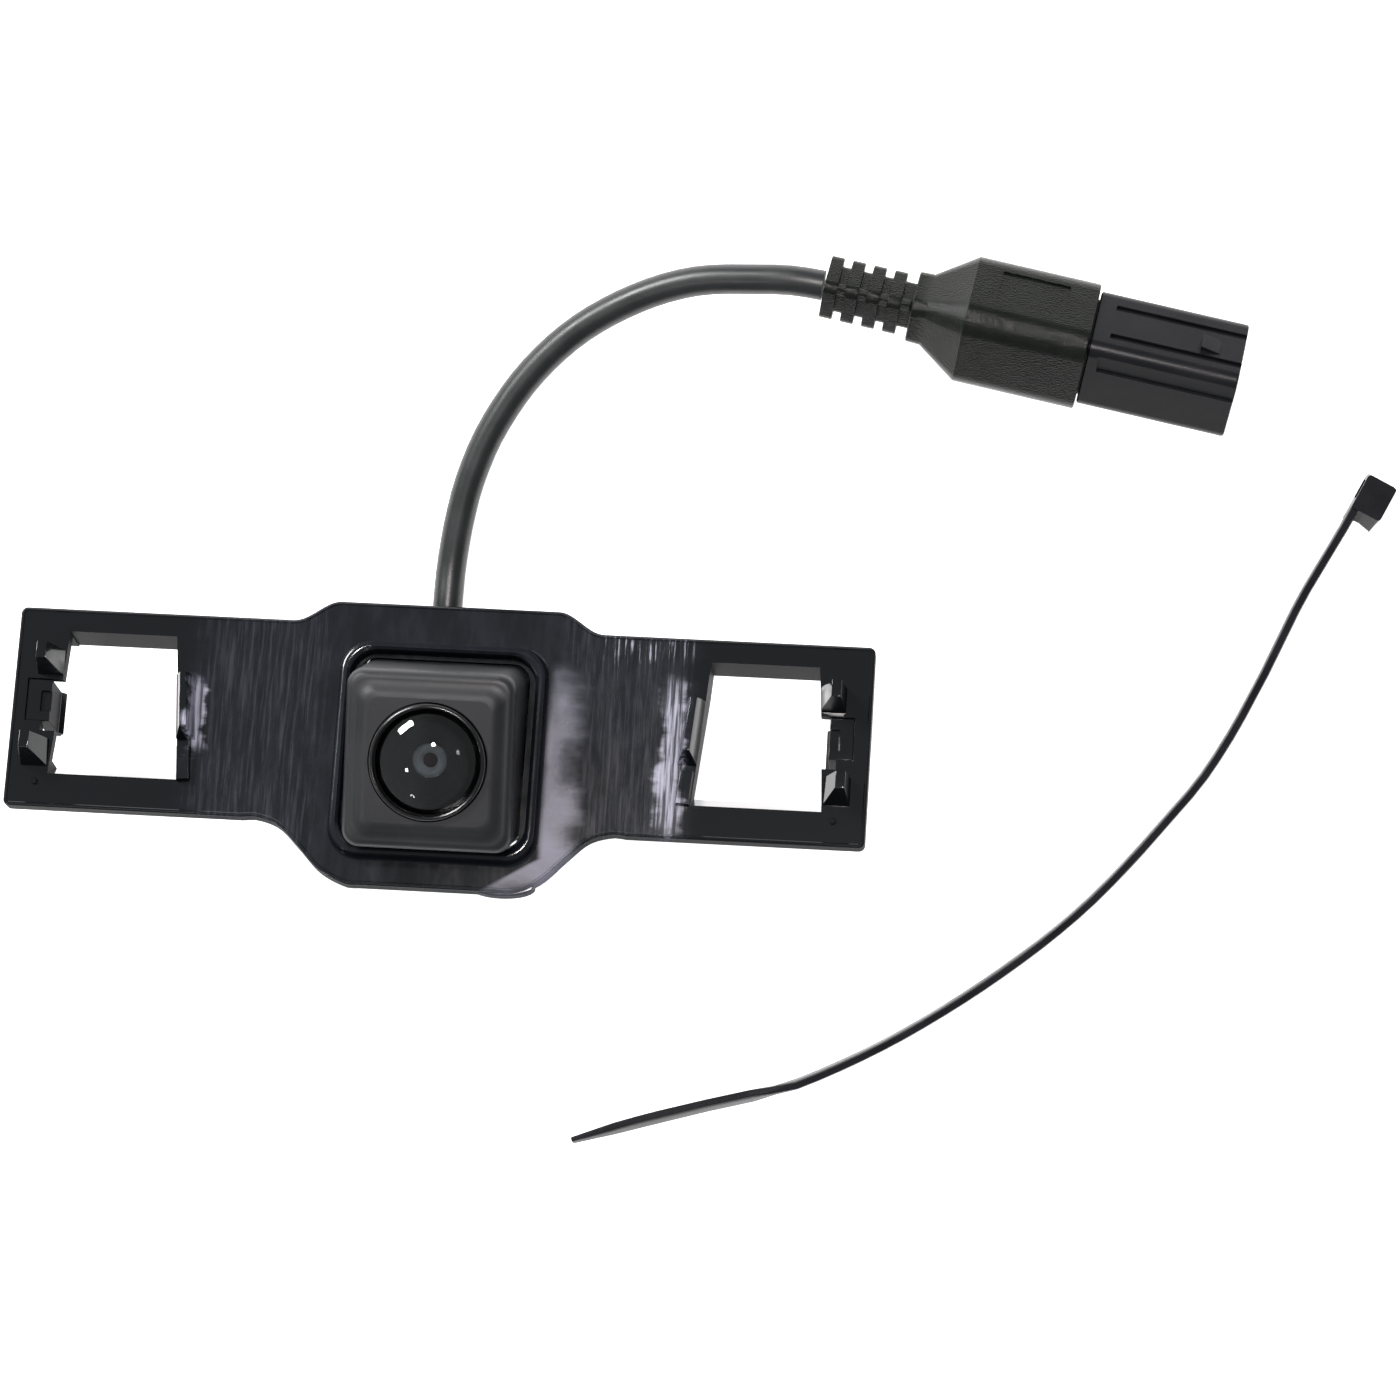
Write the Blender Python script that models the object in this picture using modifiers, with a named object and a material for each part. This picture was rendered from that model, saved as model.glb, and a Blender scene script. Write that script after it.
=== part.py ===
# Reversing camera kit: a camera head in a snap-in number plate lamp bracket, its short lead
# with a moulded connector, and the loose cable tie that comes with it.
# Metres, +Z up. The camera's optical axis is +Z and its rear cover stands on z = 0.

import math

import bmesh
import bpy
from mathutils import Matrix, Vector

MM = 0.001
GAP = 0.3 * MM                    # clearance kept between touching pieces

# camera head
headWidth = 23.0 * MM             # along X
headDepth = 25.2 * MM             # along Y
headCorner = 3.2 * MM
splitZ = 7.6 * MM                 # joint between rear cover and front housing
frontZ = 27.2 * MM                # face that carries the lens
wall = 1.5 * MM
lensRingRadius = 7.85 * MM
domeRadius = 7.1 * MM
barrelRadius = 6.0 * MM
screwX = 8.6 * MM
screwY = 9.6 * MM
boardHalf = 8.8 * MM
glandX = -1.0 * MM
glandZ = 3.4 * MM

# bracket, in its own frame: x along it, y up it, n out of its front face
bracketTilt = math.radians(19.0)
bracketZ = 15.0 * MM
halfLength = 58.0 * MM
topY = 17.7 * MM
bumpY = 20.6 * MM
bottomY = -10.1 * MM
lobeY = -18.6 * MM
plate = 2.6 * MM
wallDepth = 7.3 * MM
windowTopY = 14.5 * MM
windowBottomY = -5.0 * MM
windowInnerTop = 36.4 * MM
windowInnerBottom = 34.8 * MM
windowOuterTop = 51.1 * MM
windowOuterBottom = 52.4 * MM
rimHalfX = 14.8 * MM
rimHalfY = 14.9 * MM
rimHeight = 2.4 * MM
earX = 15.6 * MM

# lead and connector
cableRadius = 2.05 * MM
plugStart = Vector((48.95, 64.9, 8.55)) * MM
plugHeading = math.radians(-10.5)
ribPitch = 2.9 * MM
ribLength = 1.8 * MM
ribCount = 4
bodyStart = 12.0 * MM
bodyEnd = 35.9 * MM
bodySide = 13.2 * MM
socketEnd = 56.4 * MM
socketSide = 11.8 * MM
socketWall = 1.0 * MM
socketFloor = 42.0 * MM

# cable tie
strapThick = 1.2 * MM
strapWide = 3.6 * MM
tieHeadLong = 6.4 * MM
tieHeadWide = 4.3 * MM
tieHeadTall = 5.0 * MM

for item in list(bpy.data.objects):
    bpy.data.objects.remove(item, do_unlink=True)

kit = bpy.data.collections.new("backup_camera_kit")
cutters = bpy.data.collections.new("cutters")
bpy.context.scene.collection.children.link(kit)
bpy.context.scene.collection.children.link(cutters)

bracketFrame = bpy.data.objects.new("bracket_frame", None)
bracketFrame.location = (0, 0, bracketZ)
bracketFrame.rotation_euler = (-bracketTilt, 0, 0)
plugFrame = bpy.data.objects.new("plug_frame", None)
plugFrame.matrix_world = (
    Matrix.Translation(plugStart)
    @ Matrix.Rotation(plugHeading, 4, "Z")
    @ Matrix.Rotation(math.radians(90), 4, "Y")
    @ Matrix.Rotation(math.radians(-45), 4, "Z")
)
kit.objects.link(bracketFrame)
kit.objects.link(plugFrame)


def finish(name, colour, roughness, metallic=0.0):
    material = bpy.data.materials.new(name)
    material.use_nodes = True
    shader = material.node_tree.nodes["Principled BSDF"]
    shader.inputs["Base Color"].default_value = (*colour, 1)
    shader.inputs["Roughness"].default_value = roughness
    shader.inputs["Metallic"].default_value = metallic
    return material


glossBlack = finish("bracket_gloss_black", (0.012, 0.013, 0.015), 0.12)
satinBlack = finish("housing_satin_black", (0.035, 0.035, 0.038), 0.4)
lensGlass = finish("lens_glass", (0.01, 0.01, 0.015), 0.03)
blackMetal = finish("anodised_barrel", (0.02, 0.02, 0.022), 0.35, 1.0)
steel = finish("screw_steel", (0.45, 0.45, 0.46), 0.35, 1.0)
rubber = finish("seal_rubber", (0.02, 0.02, 0.02), 0.75)
board = finish("circuit_board", (0.01, 0.10, 0.04), 0.45)
chip = finish("chip_black", (0.02, 0.02, 0.025), 0.5)
gold = finish("contact_gold", (0.75, 0.55, 0.22), 0.25, 1.0)
cableBlack = finish("cable_pvc", (0.035, 0.037, 0.04), 0.35)
plugBlack = finish("overmould_black", (0.03, 0.032, 0.031), 0.5)
socketBlack = finish("connector_nylon", (0.025, 0.026, 0.03), 0.42)
nylonBlack = finish("tie_nylon", (0.015, 0.015, 0.016), 0.25)


def place(item, name, material=None, parent=None):
    """Names an object and puts it in the kit, or with no material among the cutters."""
    item.name = name
    for owner in list(item.users_collection):
        owner.objects.unlink(item)
    if parent is not None:
        item.parent = parent
    if material is None:
        cutters.objects.link(item)
        item.hide_render = True
        item.display_type = "WIRE"
        return item
    kit.objects.link(item)
    item.data.materials.clear()
    item.data.materials.append(material)
    return item


def meshObject(name, bm):
    mesh = bpy.data.meshes.new(name)
    bm.to_mesh(mesh)
    bm.free()
    return bpy.data.objects.new(name, mesh)


def smooth(item):
    item.data.shade_smooth()
    item.data.set_sharp_from_angle(angle=math.radians(35))


def block(low, high):
    """A box between two corners."""
    bm = bmesh.new()
    bmesh.ops.create_cube(bm, size=1)
    low, high = Vector(low), Vector(high)
    size = high - low
    bmesh.ops.scale(bm, vec=size, verts=bm.verts)
    bmesh.ops.translate(bm, vec=(low + high) / 2, verts=bm.verts)
    return meshObject("block", bm)


def rod(radius, low, high, x=0.0, y=0.0, steps=24):
    """An upright cylinder."""
    bm = bmesh.new()
    bmesh.ops.create_cone(
        bm, cap_ends=True, segments=steps, radius1=radius, radius2=radius, depth=high - low
    )
    bmesh.ops.translate(bm, vec=(x, y, (low + high) / 2), verts=bm.verts)
    item = meshObject("rod", bm)
    smooth(item)
    return item


def turned(profile, closed=False, steps=32):
    """A turned shape: (radius, height) points from the top down the outer side."""
    bm = bmesh.new()
    verts = [bm.verts.new((radius, 0, height)) for radius, height in profile]
    for first, second in zip(verts, verts[1:]):
        bm.edges.new((first, second))
    if closed:
        bm.edges.new((verts[-1], verts[0]))
    item = meshObject("turned", bm)
    screw = item.modifiers.new("screw", "SCREW")
    screw.steps = steps
    screw.render_steps = steps
    screw.use_merge_vertices = True
    screw.merge_threshold = 0.00001
    return item


def roundedRect(halfX, halfY, radius, steps=4):
    points = []
    for corner, (sx, sy) in enumerate(((1, 1), (-1, 1), (-1, -1), (1, -1))):
        for step in range(steps + 1):
            angle = math.radians(90) * (corner + step / steps)
            points.append((
                sx * (halfX - radius) + radius * math.cos(angle),
                sy * (halfY - radius) + radius * math.sin(angle),
            ))
    return points


def slab(outlines, low, high):
    """A flat outline, with any holes after it, between two heights."""
    curve = bpy.data.curves.new("outline", "CURVE")
    curve.dimensions = "2D"
    curve.fill_mode = "BOTH"
    curve.extrude = (high - low) / 2
    for outline in outlines:
        spline = curve.splines.new("POLY")
        spline.points.add(len(outline) - 1)
        for point, (x, y) in zip(spline.points, outline):
            point.co = (x, y, 0, 1)
        spline.use_cyclic_u = True
    item = solidFromCurve(curve)
    item.data.transform(Matrix.Translation((0, 0, (low + high) / 2)))
    return item


def solidFromCurve(curve):
    source = bpy.data.objects.new("source", curve)
    bpy.context.scene.collection.objects.link(source)
    bpy.context.view_layer.update()
    ready = source.evaluated_get(bpy.context.evaluated_depsgraph_get())
    mesh = bpy.data.meshes.new_from_object(ready)
    bm = bmesh.new()
    bm.from_mesh(mesh)
    bmesh.ops.remove_doubles(bm, verts=bm.verts, dist=0.000002)
    bm.to_mesh(mesh)
    bm.free()
    bpy.data.objects.remove(source, do_unlink=True)
    return bpy.data.objects.new("solid", mesh)


def tube(points, radius, resolution=2):
    """A round tube through a smooth run of points."""
    curve = bpy.data.curves.new("tube", "CURVE")
    curve.dimensions = "3D"
    curve.bevel_depth = radius
    curve.bevel_resolution = resolution
    curve.use_fill_caps = True
    spline = curve.splines.new("POLY")
    spline.points.add(len(points) - 1)
    for point, place3 in zip(spline.points, points):
        point.co = (*place3, 1)
    return solidFromCurve(curve)


def loft(sections):
    """A closed body through rings of points that all have the same count."""
    bm = bmesh.new()
    rings = [[bm.verts.new(point) for point in section] for section in sections]
    count = len(rings[0])
    for lower, upper in zip(rings, rings[1:]):
        for i in range(count):
            j = (i + 1) % count
            bm.faces.new((lower[i], lower[j], upper[j], upper[i]))
    bm.faces.new(list(reversed(rings[0])))
    bm.faces.new(rings[-1])
    bmesh.ops.recalc_face_normals(bm, faces=bm.faces)
    return meshObject("loft", bm)


def boolean(item, tool, operation):
    modifier = item.modifiers.new(operation.lower(), "BOOLEAN")
    modifier.operation = operation
    modifier.object = tool
    modifier.solver = "EXACT"


def cut(item, tool, name, parent=None):
    boolean(item, place(tool, name, parent=parent), "DIFFERENCE")


def weld(item, tool, name, parent=None):
    boolean(item, place(tool, name, parent=parent), "UNION")


def ease(start, end, steps):
    """Points of an S-shaped sweep between two points, without the first."""
    points = []
    for step in range(1, steps + 1):
        part = step / steps
        lift = (1 - math.cos(math.pi * part)) / 2
        points.append((
            start[0] + (end[0] - start[0]) * part,
            start[1] + (end[1] - start[1]) * lift,
        ))
    return points


def throughSmooth(points, spacing):
    """Evenly spaced points on a smooth curve through hand-picked ones."""
    ends = [2 * points[0] - points[1]] + points + [2 * points[-1] - points[-2]]
    dense = []
    for i in range(1, len(ends) - 2):
        before, a, b, after = ends[i - 1:i + 3]
        for step in range(24):
            t = step / 24
            dense.append(0.5 * (
                2 * a + (b - before) * t
                + (2 * before - 5 * a + 4 * b - after) * t ** 2
                + (3 * a - before - 3 * b + after) * t ** 3
            ))
    dense.append(points[-1])
    travelled = [0.0]
    for first, second in zip(dense, dense[1:]):
        travelled.append(travelled[-1] + (second - first).length)
    count = max(2, round(travelled[-1] / spacing))
    result = []
    at = 0
    for step in range(count + 1):
        wanted = travelled[-1] * step / count
        while at < len(dense) - 2 and travelled[at + 1] < wanted:
            at += 1
        share = (wanted - travelled[at]) / max(1e-9, travelled[at + 1] - travelled[at])
        result.append(dense[at].lerp(dense[at + 1], share))
    return result


# ---- bracket ------------------------------------------------------------------------------

def bracketOutline():
    corner = 1.2 * MM
    half = [(halfLength, bottomY + corner), (halfLength, topY - corner)]
    half += [
        (halfLength - corner + corner * math.cos(a), topY - corner + corner * math.sin(a))
        for a in (math.radians(30), math.radians(60), math.radians(90))
    ]
    half.append((21.2 * MM, topY))
    half += ease((21.2 * MM, topY), (14.8 * MM, bumpY), 6)
    bottom = [(11.0 * MM, lobeY)]
    bottom += ease((11.0 * MM, lobeY), (15.0 * MM, -16.6 * MM), 3)
    bottom += [(18.4 * MM, -13.1 * MM)]
    bottom += ease((18.4 * MM, -13.1 * MM), (23.2 * MM, bottomY + 0.2 * MM), 4)
    bottom += [
        (halfLength - corner + corner * math.cos(a), bottomY + corner + corner * math.sin(a))
        for a in (math.radians(-90), math.radians(-60), math.radians(-30))
    ]
    right = bottom + half
    return right + [(-x, y) for x, y in reversed(right)]


def windowOutline(side, grow=0.0):
    points = [
        (windowInnerBottom - grow, windowBottomY - grow),
        (windowOuterBottom + grow, windowBottomY - grow),
        (windowOuterTop + grow, windowTopY + grow),
        (windowInnerTop - grow, windowTopY + grow),
    ]
    if side < 0:
        points = [(-x, y) for x, y in reversed(points)]
    return points


def wedge(side, base, tip, low, high):
    """A four-sided hook that narrows from its base to its tip, given for the right side."""
    sections = []
    for (x0, x1, y0, y1), n in ((base, low), (tip, high)):
        ring = ((x0, y0), (x1, y0), (x1, y1), (x0, y1))
        sections.append([Vector((side * x * MM, y * MM, n * MM)) for x, y in ring])
    return loft(sections)


def makeBracket():
    bracket = slab([bracketOutline()], -plate, 0)
    place(bracket, "lamp_bracket", glossBlack, bracketFrame)
    rim = slab([roundedRect(rimHalfX, rimHalfY, 5.2 * MM, 5)], -0.4 * MM, rimHeight)
    weld(bracket, rim, "rim_blank", bracketFrame)
    socket = slab([roundedRect(rimHalfX - 0.9 * MM, rimHalfY - 0.9 * MM, 4.6 * MM)],
                  -4.0 * MM, -0.5 * MM)
    weld(bracket, socket, "socket_blank", bracketFrame)
    lug = slab([roundedRect(3.0 * MM, 1.2 * MM, 1.0 * MM)], -plate + 0.2 * MM, -0.9 * MM)
    lug.data.transform(Matrix.Translation((9.6 * MM, lobeY + 0.8 * MM, 0)))
    weld(bracket, lug, "edge_lug", bracketFrame)
    for side, word in ((-1, "left"), (1, "right")):
        frame = slab([windowOutline(side, 1.4 * MM)], -wallDepth, -0.5 * MM)
        weld(bracket, frame, word + "_window_wall", bracketFrame)
        features = (
            ("upper_hook", (51.4, 54.6, 8.6, 12.6), (53.0, 54.1, 9.8, 11.7), -0.5, 5.5),
            ("lower_hook", (52.9, 56.0, -5.0, -0.2), (54.4, 55.5, -3.4, -1.0), -0.5, 5.5),
            ("clip_post", (33.1, 36.3, -0.9, 9.3), (33.4, 34.7, 0.9, 8.9), -0.5, 3.4),
            ("lower_post", (33.4, 35.3, -5.6, -1.6), (33.5, 34.9, -5.4, -1.8), -0.5, 1.2),
        )
        for label, base, tip, low, high in features:
            weld(bracket, wedge(side, base, tip, low, high), word + "_" + label, bracketFrame)
        pin = rod(0.6 * MM, -0.5 * MM, 1.1 * MM, side * 54.0 * MM, -6.6 * MM, 12)
        weld(bracket, pin, word + "_locating_pin", bracketFrame)
        boss = rod(2.7 * MM, 6.4 * MM, bracketZ - 1.2 * MM, side * earX, 0)
        weld(bracket, boss, word + "_screw_boss")
    reach = 40 * MM
    opening = slab(
        [roundedRect(headWidth / 2 + 0.45 * MM, headDepth / 2 + 0.45 * MM, headCorner)],
        -reach, reach)
    cut(bracket, opening, "camera_opening")
    for side, word in ((-1, "left"), (1, "right")):
        cut(bracket, slab([windowOutline(side)], -reach, reach), word + "_window", bracketFrame)
        pocket = block(
            (min(side * 51.0, side * 56.4) * MM, 1.7 * MM, -wallDepth - MM),
            (max(side * 51.0, side * 56.4) * MM, 7.9 * MM, MM))
        cut(bracket, pocket, word + "_tongue_pocket", bracketFrame)
        notch = block(
            (min(side * 51.0, side * 54.0) * MM, 0.4 * MM, -wallDepth - MM),
            (max(side * 51.0, side * 54.0) * MM, 2.0 * MM, MM))
        cut(bracket, notch, word + "_notch", bracketFrame)
        hole = rod(0.95 * MM, 5.0 * MM, 11.6 * MM, side * earX, 0, 16)
        cut(bracket, hole, word + "_screw_pilot")
    return bracket


def makeTongue(side, word):
    """A snap tongue whose root is a thin living hinge at its outer top edge."""
    outline = [(0.35, -0.75), (-0.35, -0.75), (-0.35, 0.6), (3.0, 0.6), (3.0, -6.2),
               (3.7, -7.0), (3.0, -8.2), (1.5, -8.2), (1.0, -0.75)]
    ring = [Vector((-side * x * MM, 0, n * MM)) for x, n in outline]
    low = [point + Vector((0, 2.1 * MM, 0)) for point in ring]
    high = [point + Vector((0, 7.5 * MM, 0)) for point in ring]
    tongue = loft([low, high])
    place(tongue, word + "_snap_tongue", glossBlack, bracketFrame)
    tongue.location = (side * 55.75 * MM, 0, -0.9 * MM)
    recess = block((min(-side * 1.6, -side * 3.2) * MM, 3.4 * MM, -0.1 * MM),
                   (max(-side * 1.6, -side * 3.2) * MM, 6.0 * MM, 2 * MM))
    recess.location = tongue.location
    cut(tongue, recess, word + "_tongue_recess", bracketFrame)


# ---- camera head --------------------------------------------------------------------------

def headOutline(inset=0.0):
    return roundedRect(headWidth / 2 - inset, headDepth / 2 - inset,
                       max(0.6 * MM, headCorner - inset))


corners = [(sx * screwX, sy * screwY) for sy in (-1, 1) for sx in (-1, 1)]


def makeRearCover():
    cover = slab([headOutline(-0.15 * MM)], 0, splitZ)
    place(cover, "rear_cover", satinBlack)
    for side, word in ((-1, "left"), (1, "right")):
        ear = slab([roundedRect(4.2 * MM, 3.2 * MM, 2.6 * MM)], 3.5 * MM, 6.1 * MM)
        ear.data.transform(Matrix.Translation((side * (earX - 1.2 * MM), 0, 0)))
        weld(cover, ear, word + "_ear")
    cut(cover, slab([headOutline(wall)], wall, splitZ + MM), "rear_cavity")
    for number, (x, y) in enumerate(corners):
        weld(cover, rod(1.9 * MM, 1.0 * MM, splitZ - 0.1 * MM, x, y, 16), f"rear_post_{number}")
        cut(cover, rod(1.0 * MM, -MM, splitZ + MM, x, y, 16), f"rear_hole_{number}")
        cut(cover, rod(1.75 * MM, -MM, 1.7 * MM, x, y, 16), f"rear_sink_{number}")
    for side, word in ((-1, "left"), (1, "right")):
        cut(cover, rod(1.0 * MM, 2 * MM, 8 * MM, side * earX, 0, 16), word + "_ear_hole")
    lead = rod(2.5 * MM, 9 * MM, 15 * MM)
    lead.data.transform(
        Matrix.Translation((glandX, 0, glandZ)) @ Matrix.Rotation(math.radians(-90), 4, "X"))
    cut(cover, lead, "gland_hole")


def makeFrontHousing():
    low = splitZ + 1.2 * MM
    shoulder = 2.2 * MM
    rings = []
    for height, inset in ((low, 0), (frontZ - shoulder, 0)):
        rings.append((height, inset))
    for step in range(1, 5):
        angle = math.radians(90) * step / 4
        rings.append((
            frontZ - shoulder + shoulder * math.sin(angle),
            shoulder * (1 - math.cos(angle)) * 0.85,
        ))
    sections = []
    for height, inset in rings:
        outline = roundedRect(headWidth / 2 - inset, headDepth / 2 - inset,
                              headCorner - inset * 0.5)
        sections.append([Vector((x, y, height)) for x, y in outline])
    housing = loft(sections)
    place(housing, "front_housing", satinBlack)
    cut(housing, slab([headOutline(wall)], 0, frontZ - 3.0 * MM), "front_cavity")
    for number, (x, y) in enumerate(corners):
        weld(housing, rod(1.7 * MM, low, frontZ - 2.8 * MM, x, y, 16), f"front_post_{number}")
        cut(housing, rod(0.95 * MM, 0, 17 * MM, x, y, 12), f"front_hole_{number}")
    cut(housing, rod(barrelRadius + 0.35 * MM, 15 * MM, 40 * MM, steps=32), "lens_bore")
    cut(housing, rod(lensRingRadius + 0.3 * MM, frontZ - 1.4 * MM, 40 * MM, steps=48),
        "ring_seat")
    smooth(housing)


def makeLens():
    base = frontZ - 1.1 * MM
    ring = turned([
        (lensRingRadius - 0.35 * MM, base + 2.1 * MM), (lensRingRadius, base + 1.7 * MM),
        (lensRingRadius, base), (barrelRadius + 0.2 * MM, base),
        (barrelRadius + 0.2 * MM, base + 0.6 * MM), (domeRadius + 0.2 * MM, base + 0.6 * MM),
        (domeRadius + 0.2 * MM, base + 2.1 * MM),
    ], closed=True, steps=48)
    place(ring, "lens_bezel", blackMetal)
    seat = base + 0.9 * MM
    sphere = 17.0 * MM
    drop = sphere - math.sqrt(sphere ** 2 - domeRadius ** 2)
    rise = 0.5 * MM
    profile = []
    for step in range(7):
        angle = math.asin(domeRadius / sphere) * step / 6
        height = seat + rise + drop - (sphere - sphere * math.cos(angle))
        profile.append((sphere * math.sin(angle), height))
    profile += [(domeRadius, seat), (0, seat)]
    place(turned(profile, steps=40), "front_lens", lensGlass)
    barrelTop = base + 0.3 * MM
    bore = 4.6 * MM
    barrel = turned([
        (bore, barrelTop), (barrelRadius - 0.15 * MM, barrelTop),
        (barrelRadius - 0.15 * MM, 23.3 * MM), (7.2 * MM, 23.3 * MM), (7.2 * MM, 22.3 * MM),
        (barrelRadius - 0.15 * MM, 22.3 * MM), (barrelRadius - 0.15 * MM, 13.4 * MM),
        (4.0 * MM, 13.4 * MM), (4.0 * MM, 14.0 * MM), (bore, 14.0 * MM),
    ], closed=True, steps=32)
    place(barrel, "lens_barrel", blackMetal)
    seal = turned([
        (6.55 * MM + 0.45 * MM * math.sin(a), 23.9 * MM - 0.3 * MM * math.cos(a + math.pi))
        for a in (math.radians(45 * step) for step in range(8))
    ], closed=True, steps=32)
    place(seal, "lens_o_ring", rubber)
    for name, low, high, bulge in (("inner_lens_front", 21.4, 23.0, 0.8),
                                   ("inner_lens_rear", 16.6, 18.2, 0.7)):
        radius = bore - GAP
        top = [
            (radius * part, (high + bulge * (1 - part ** 2)) * MM)
            for part in (0, 0.35, 0.7, 1)
        ]
        place(turned(top + [(radius, low * MM), (0, low * MM)], steps=24), name, lensGlass)
    stop = turned([(1.1 * MM, 20.4 * MM), (bore - GAP, 20.4 * MM), (bore - GAP, 19.8 * MM),
                   (1.1 * MM, 19.8 * MM)], closed=True, steps=24)
    place(stop, "aperture_stop", blackMetal)
    place(rod(bore - GAP, 14.4 * MM, 15.0 * MM), "infrared_filter", lensGlass)


def boardOutline():
    trim = 3.6 * MM
    h = boardHalf
    right = [(h, trim - h), (h, h - trim), (h - trim, h)]
    return right + [(-x, y) for x, y in reversed(right)] + [(trim - h, -h), (h - trim, -h)]


def makeElectronics():
    place(slab([boardOutline()], 9.4 * MM, 10.4 * MM), "sensor_board", board)
    place(slab([boardOutline()], 5.5 * MM, 6.5 * MM), "power_board", board)
    place(block((-5 * MM, -7.6 * MM, 6.8 * MM), (5 * MM, -5.2 * MM, 9.1 * MM)),
          "board_connector", chip)
    place(block((-3.2 * MM, -2.6 * MM, 6.8 * MM), (3.2 * MM, 3.8 * MM, 7.9 * MM)),
          "video_processor", chip)
    place(block((-3.3 * MM, -3.3 * MM, 10.7 * MM), (3.3 * MM, 3.3 * MM, 11.7 * MM)),
          "image_sensor", chip)
    holder = slab([roundedRect(7.4 * MM, 7.4 * MM, 1.4 * MM)], 10.7 * MM, 12.6 * MM)
    place(holder, "lens_holder", socketBlack)
    weld(holder, rod(7.2 * MM, 12.0 * MM, 18.4 * MM, steps=32), "holder_neck")
    cut(holder, rod(barrelRadius + 0.15 * MM, 12.9 * MM, 20 * MM, steps=32), "holder_bore")
    cut(holder, block((-4.2 * MM, -4.2 * MM, 8 * MM), (4.2 * MM, 4.2 * MM, 14 * MM)),
        "sensor_room")
    seal = slab([headOutline(0.5 * MM), headOutline(1.5 * MM)],
                splitZ + GAP, splitZ + 0.9 * MM)
    place(seal, "housing_gasket", rubber)


def screw(name, x, y, seat, headRadius, headHeight, shankRadius, tip):
    item = turned([
        (0, tip), (shankRadius * 0.5, tip), (shankRadius, tip - 0.6 * MM),
        (shankRadius, seat + headHeight), (headRadius, seat + headHeight),
        (headRadius, seat + 0.25 * MM), (headRadius - 0.25 * MM, seat), (0, seat),
    ], steps=16)
    item.location = (x, y, 0)
    place(item, name, steel)
    bar = max(0.3 * MM, headRadius * 0.22)
    reach = headRadius * 0.62
    for turn, sizes in enumerate(((reach, bar), (bar, reach))):
        recess = block((-sizes[0], -sizes[1], -MM), (sizes[0], sizes[1], 0.6 * headHeight))
        recess.location = (x, y, seat)
        cut(item, recess, f"{name}_recess_{turn}")


def makeScrews():
    for number, (x, y) in enumerate(corners, 1):
        screw(f"housing_screw_{number}", x, y, 0.15 * MM, 1.45 * MM, 1.25 * MM,
              0.65 * MM, 14.5 * MM)
    for side, word in ((-1, "left"), (1, "right")):
        screw(f"{word}_bracket_screw", side * earX, 0, 1.4 * MM, 2.0 * MM, 1.8 * MM,
              0.7 * MM, 10.9 * MM)


# ---- lead ---------------------------------------------------------------------------------

def makeGland():
    cableY = 16.9 * MM
    wallY = headDepth / 2
    profile = [
        (1.5 * MM, cableY - GAP), (2.5 * MM, cableY - GAP), (2.9 * MM, cableY - 1.0 * MM),
        (2.9 * MM, wallY + 0.5 * MM), (2.25 * MM, wallY + 0.5 * MM),
        (2.25 * MM, wallY - wall - 0.3 * MM), (1.5 * MM, wallY - wall - 0.3 * MM),
    ]
    gland = turned(profile, closed=True, steps=24)
    place(gland, "cable_gland", rubber)
    gland.matrix_world = (
        Matrix.Translation((glandX, 0, glandZ)) @ Matrix.Rotation(math.radians(-90), 4, "X"))
    names = ("lead_power", "lead_ground", "lead_video", "lead_guide_line")
    colours = ((0.5, 0.02, 0.02), (0.02, 0.02, 0.02), (0.7, 0.5, 0.02), (0.02, 0.25, 0.06))
    for number, (name, colour) in enumerate(zip(names, colours)):
        dx = (0.55 if number % 2 else -0.55) * MM
        dz = (0.55 if number > 1 else -0.55) * MM
        landing = (number - 1.5) * 2.2 * MM
        x, z = glandX + dx, glandZ + dz
        route = [
            Vector((x, cableY - 0.7 * MM, z)), Vector((x, wallY - wall - MM, z)),
            Vector(((x + landing) / 2, 8.4 * MM, z - 0.2 * MM)),
            Vector((landing, 5.6 * MM, z + 0.1 * MM)), Vector((landing, 4.4 * MM, 4.6 * MM)),
        ]
        lead = tube(throughSmooth(route, 1.4 * MM), 0.4 * MM, 1)
        place(lead, name, finish(name, colour, 0.4))


cableRoute = [
    Vector(point) * MM for point in (
        (-1.0, 17.0, 3.4), (-1.0, 18.8, 3.3), (-0.95, 21.3, 2.75), (-0.75, 25.0, 2.2),
        (0.0, 30.6, 2.15), (1.35, 36.6, 2.15), (4.1, 43.6, 2.2), (8.9, 51.1, 2.4),
        (15.4, 57.5, 3.0), (23.4, 62.2, 4.2), (31.4, 64.8, 5.9), (39.7, 65.4, 7.5),
        (44.6, 65.45, 8.35), (48.65, 64.96, 8.55),
    )
]


def makeCable():
    cable = tube(throughSmooth(cableRoute, 4.4 * MM), cableRadius, 2)
    smooth(cable)
    place(cable, "camera_cable", cableBlack)


def squareSection(side, radius, along, steps=3):
    outline = roundedRect(side / 2, side / 2, radius, steps)
    return [Vector((x, y, along)) for x, y in outline]


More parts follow.
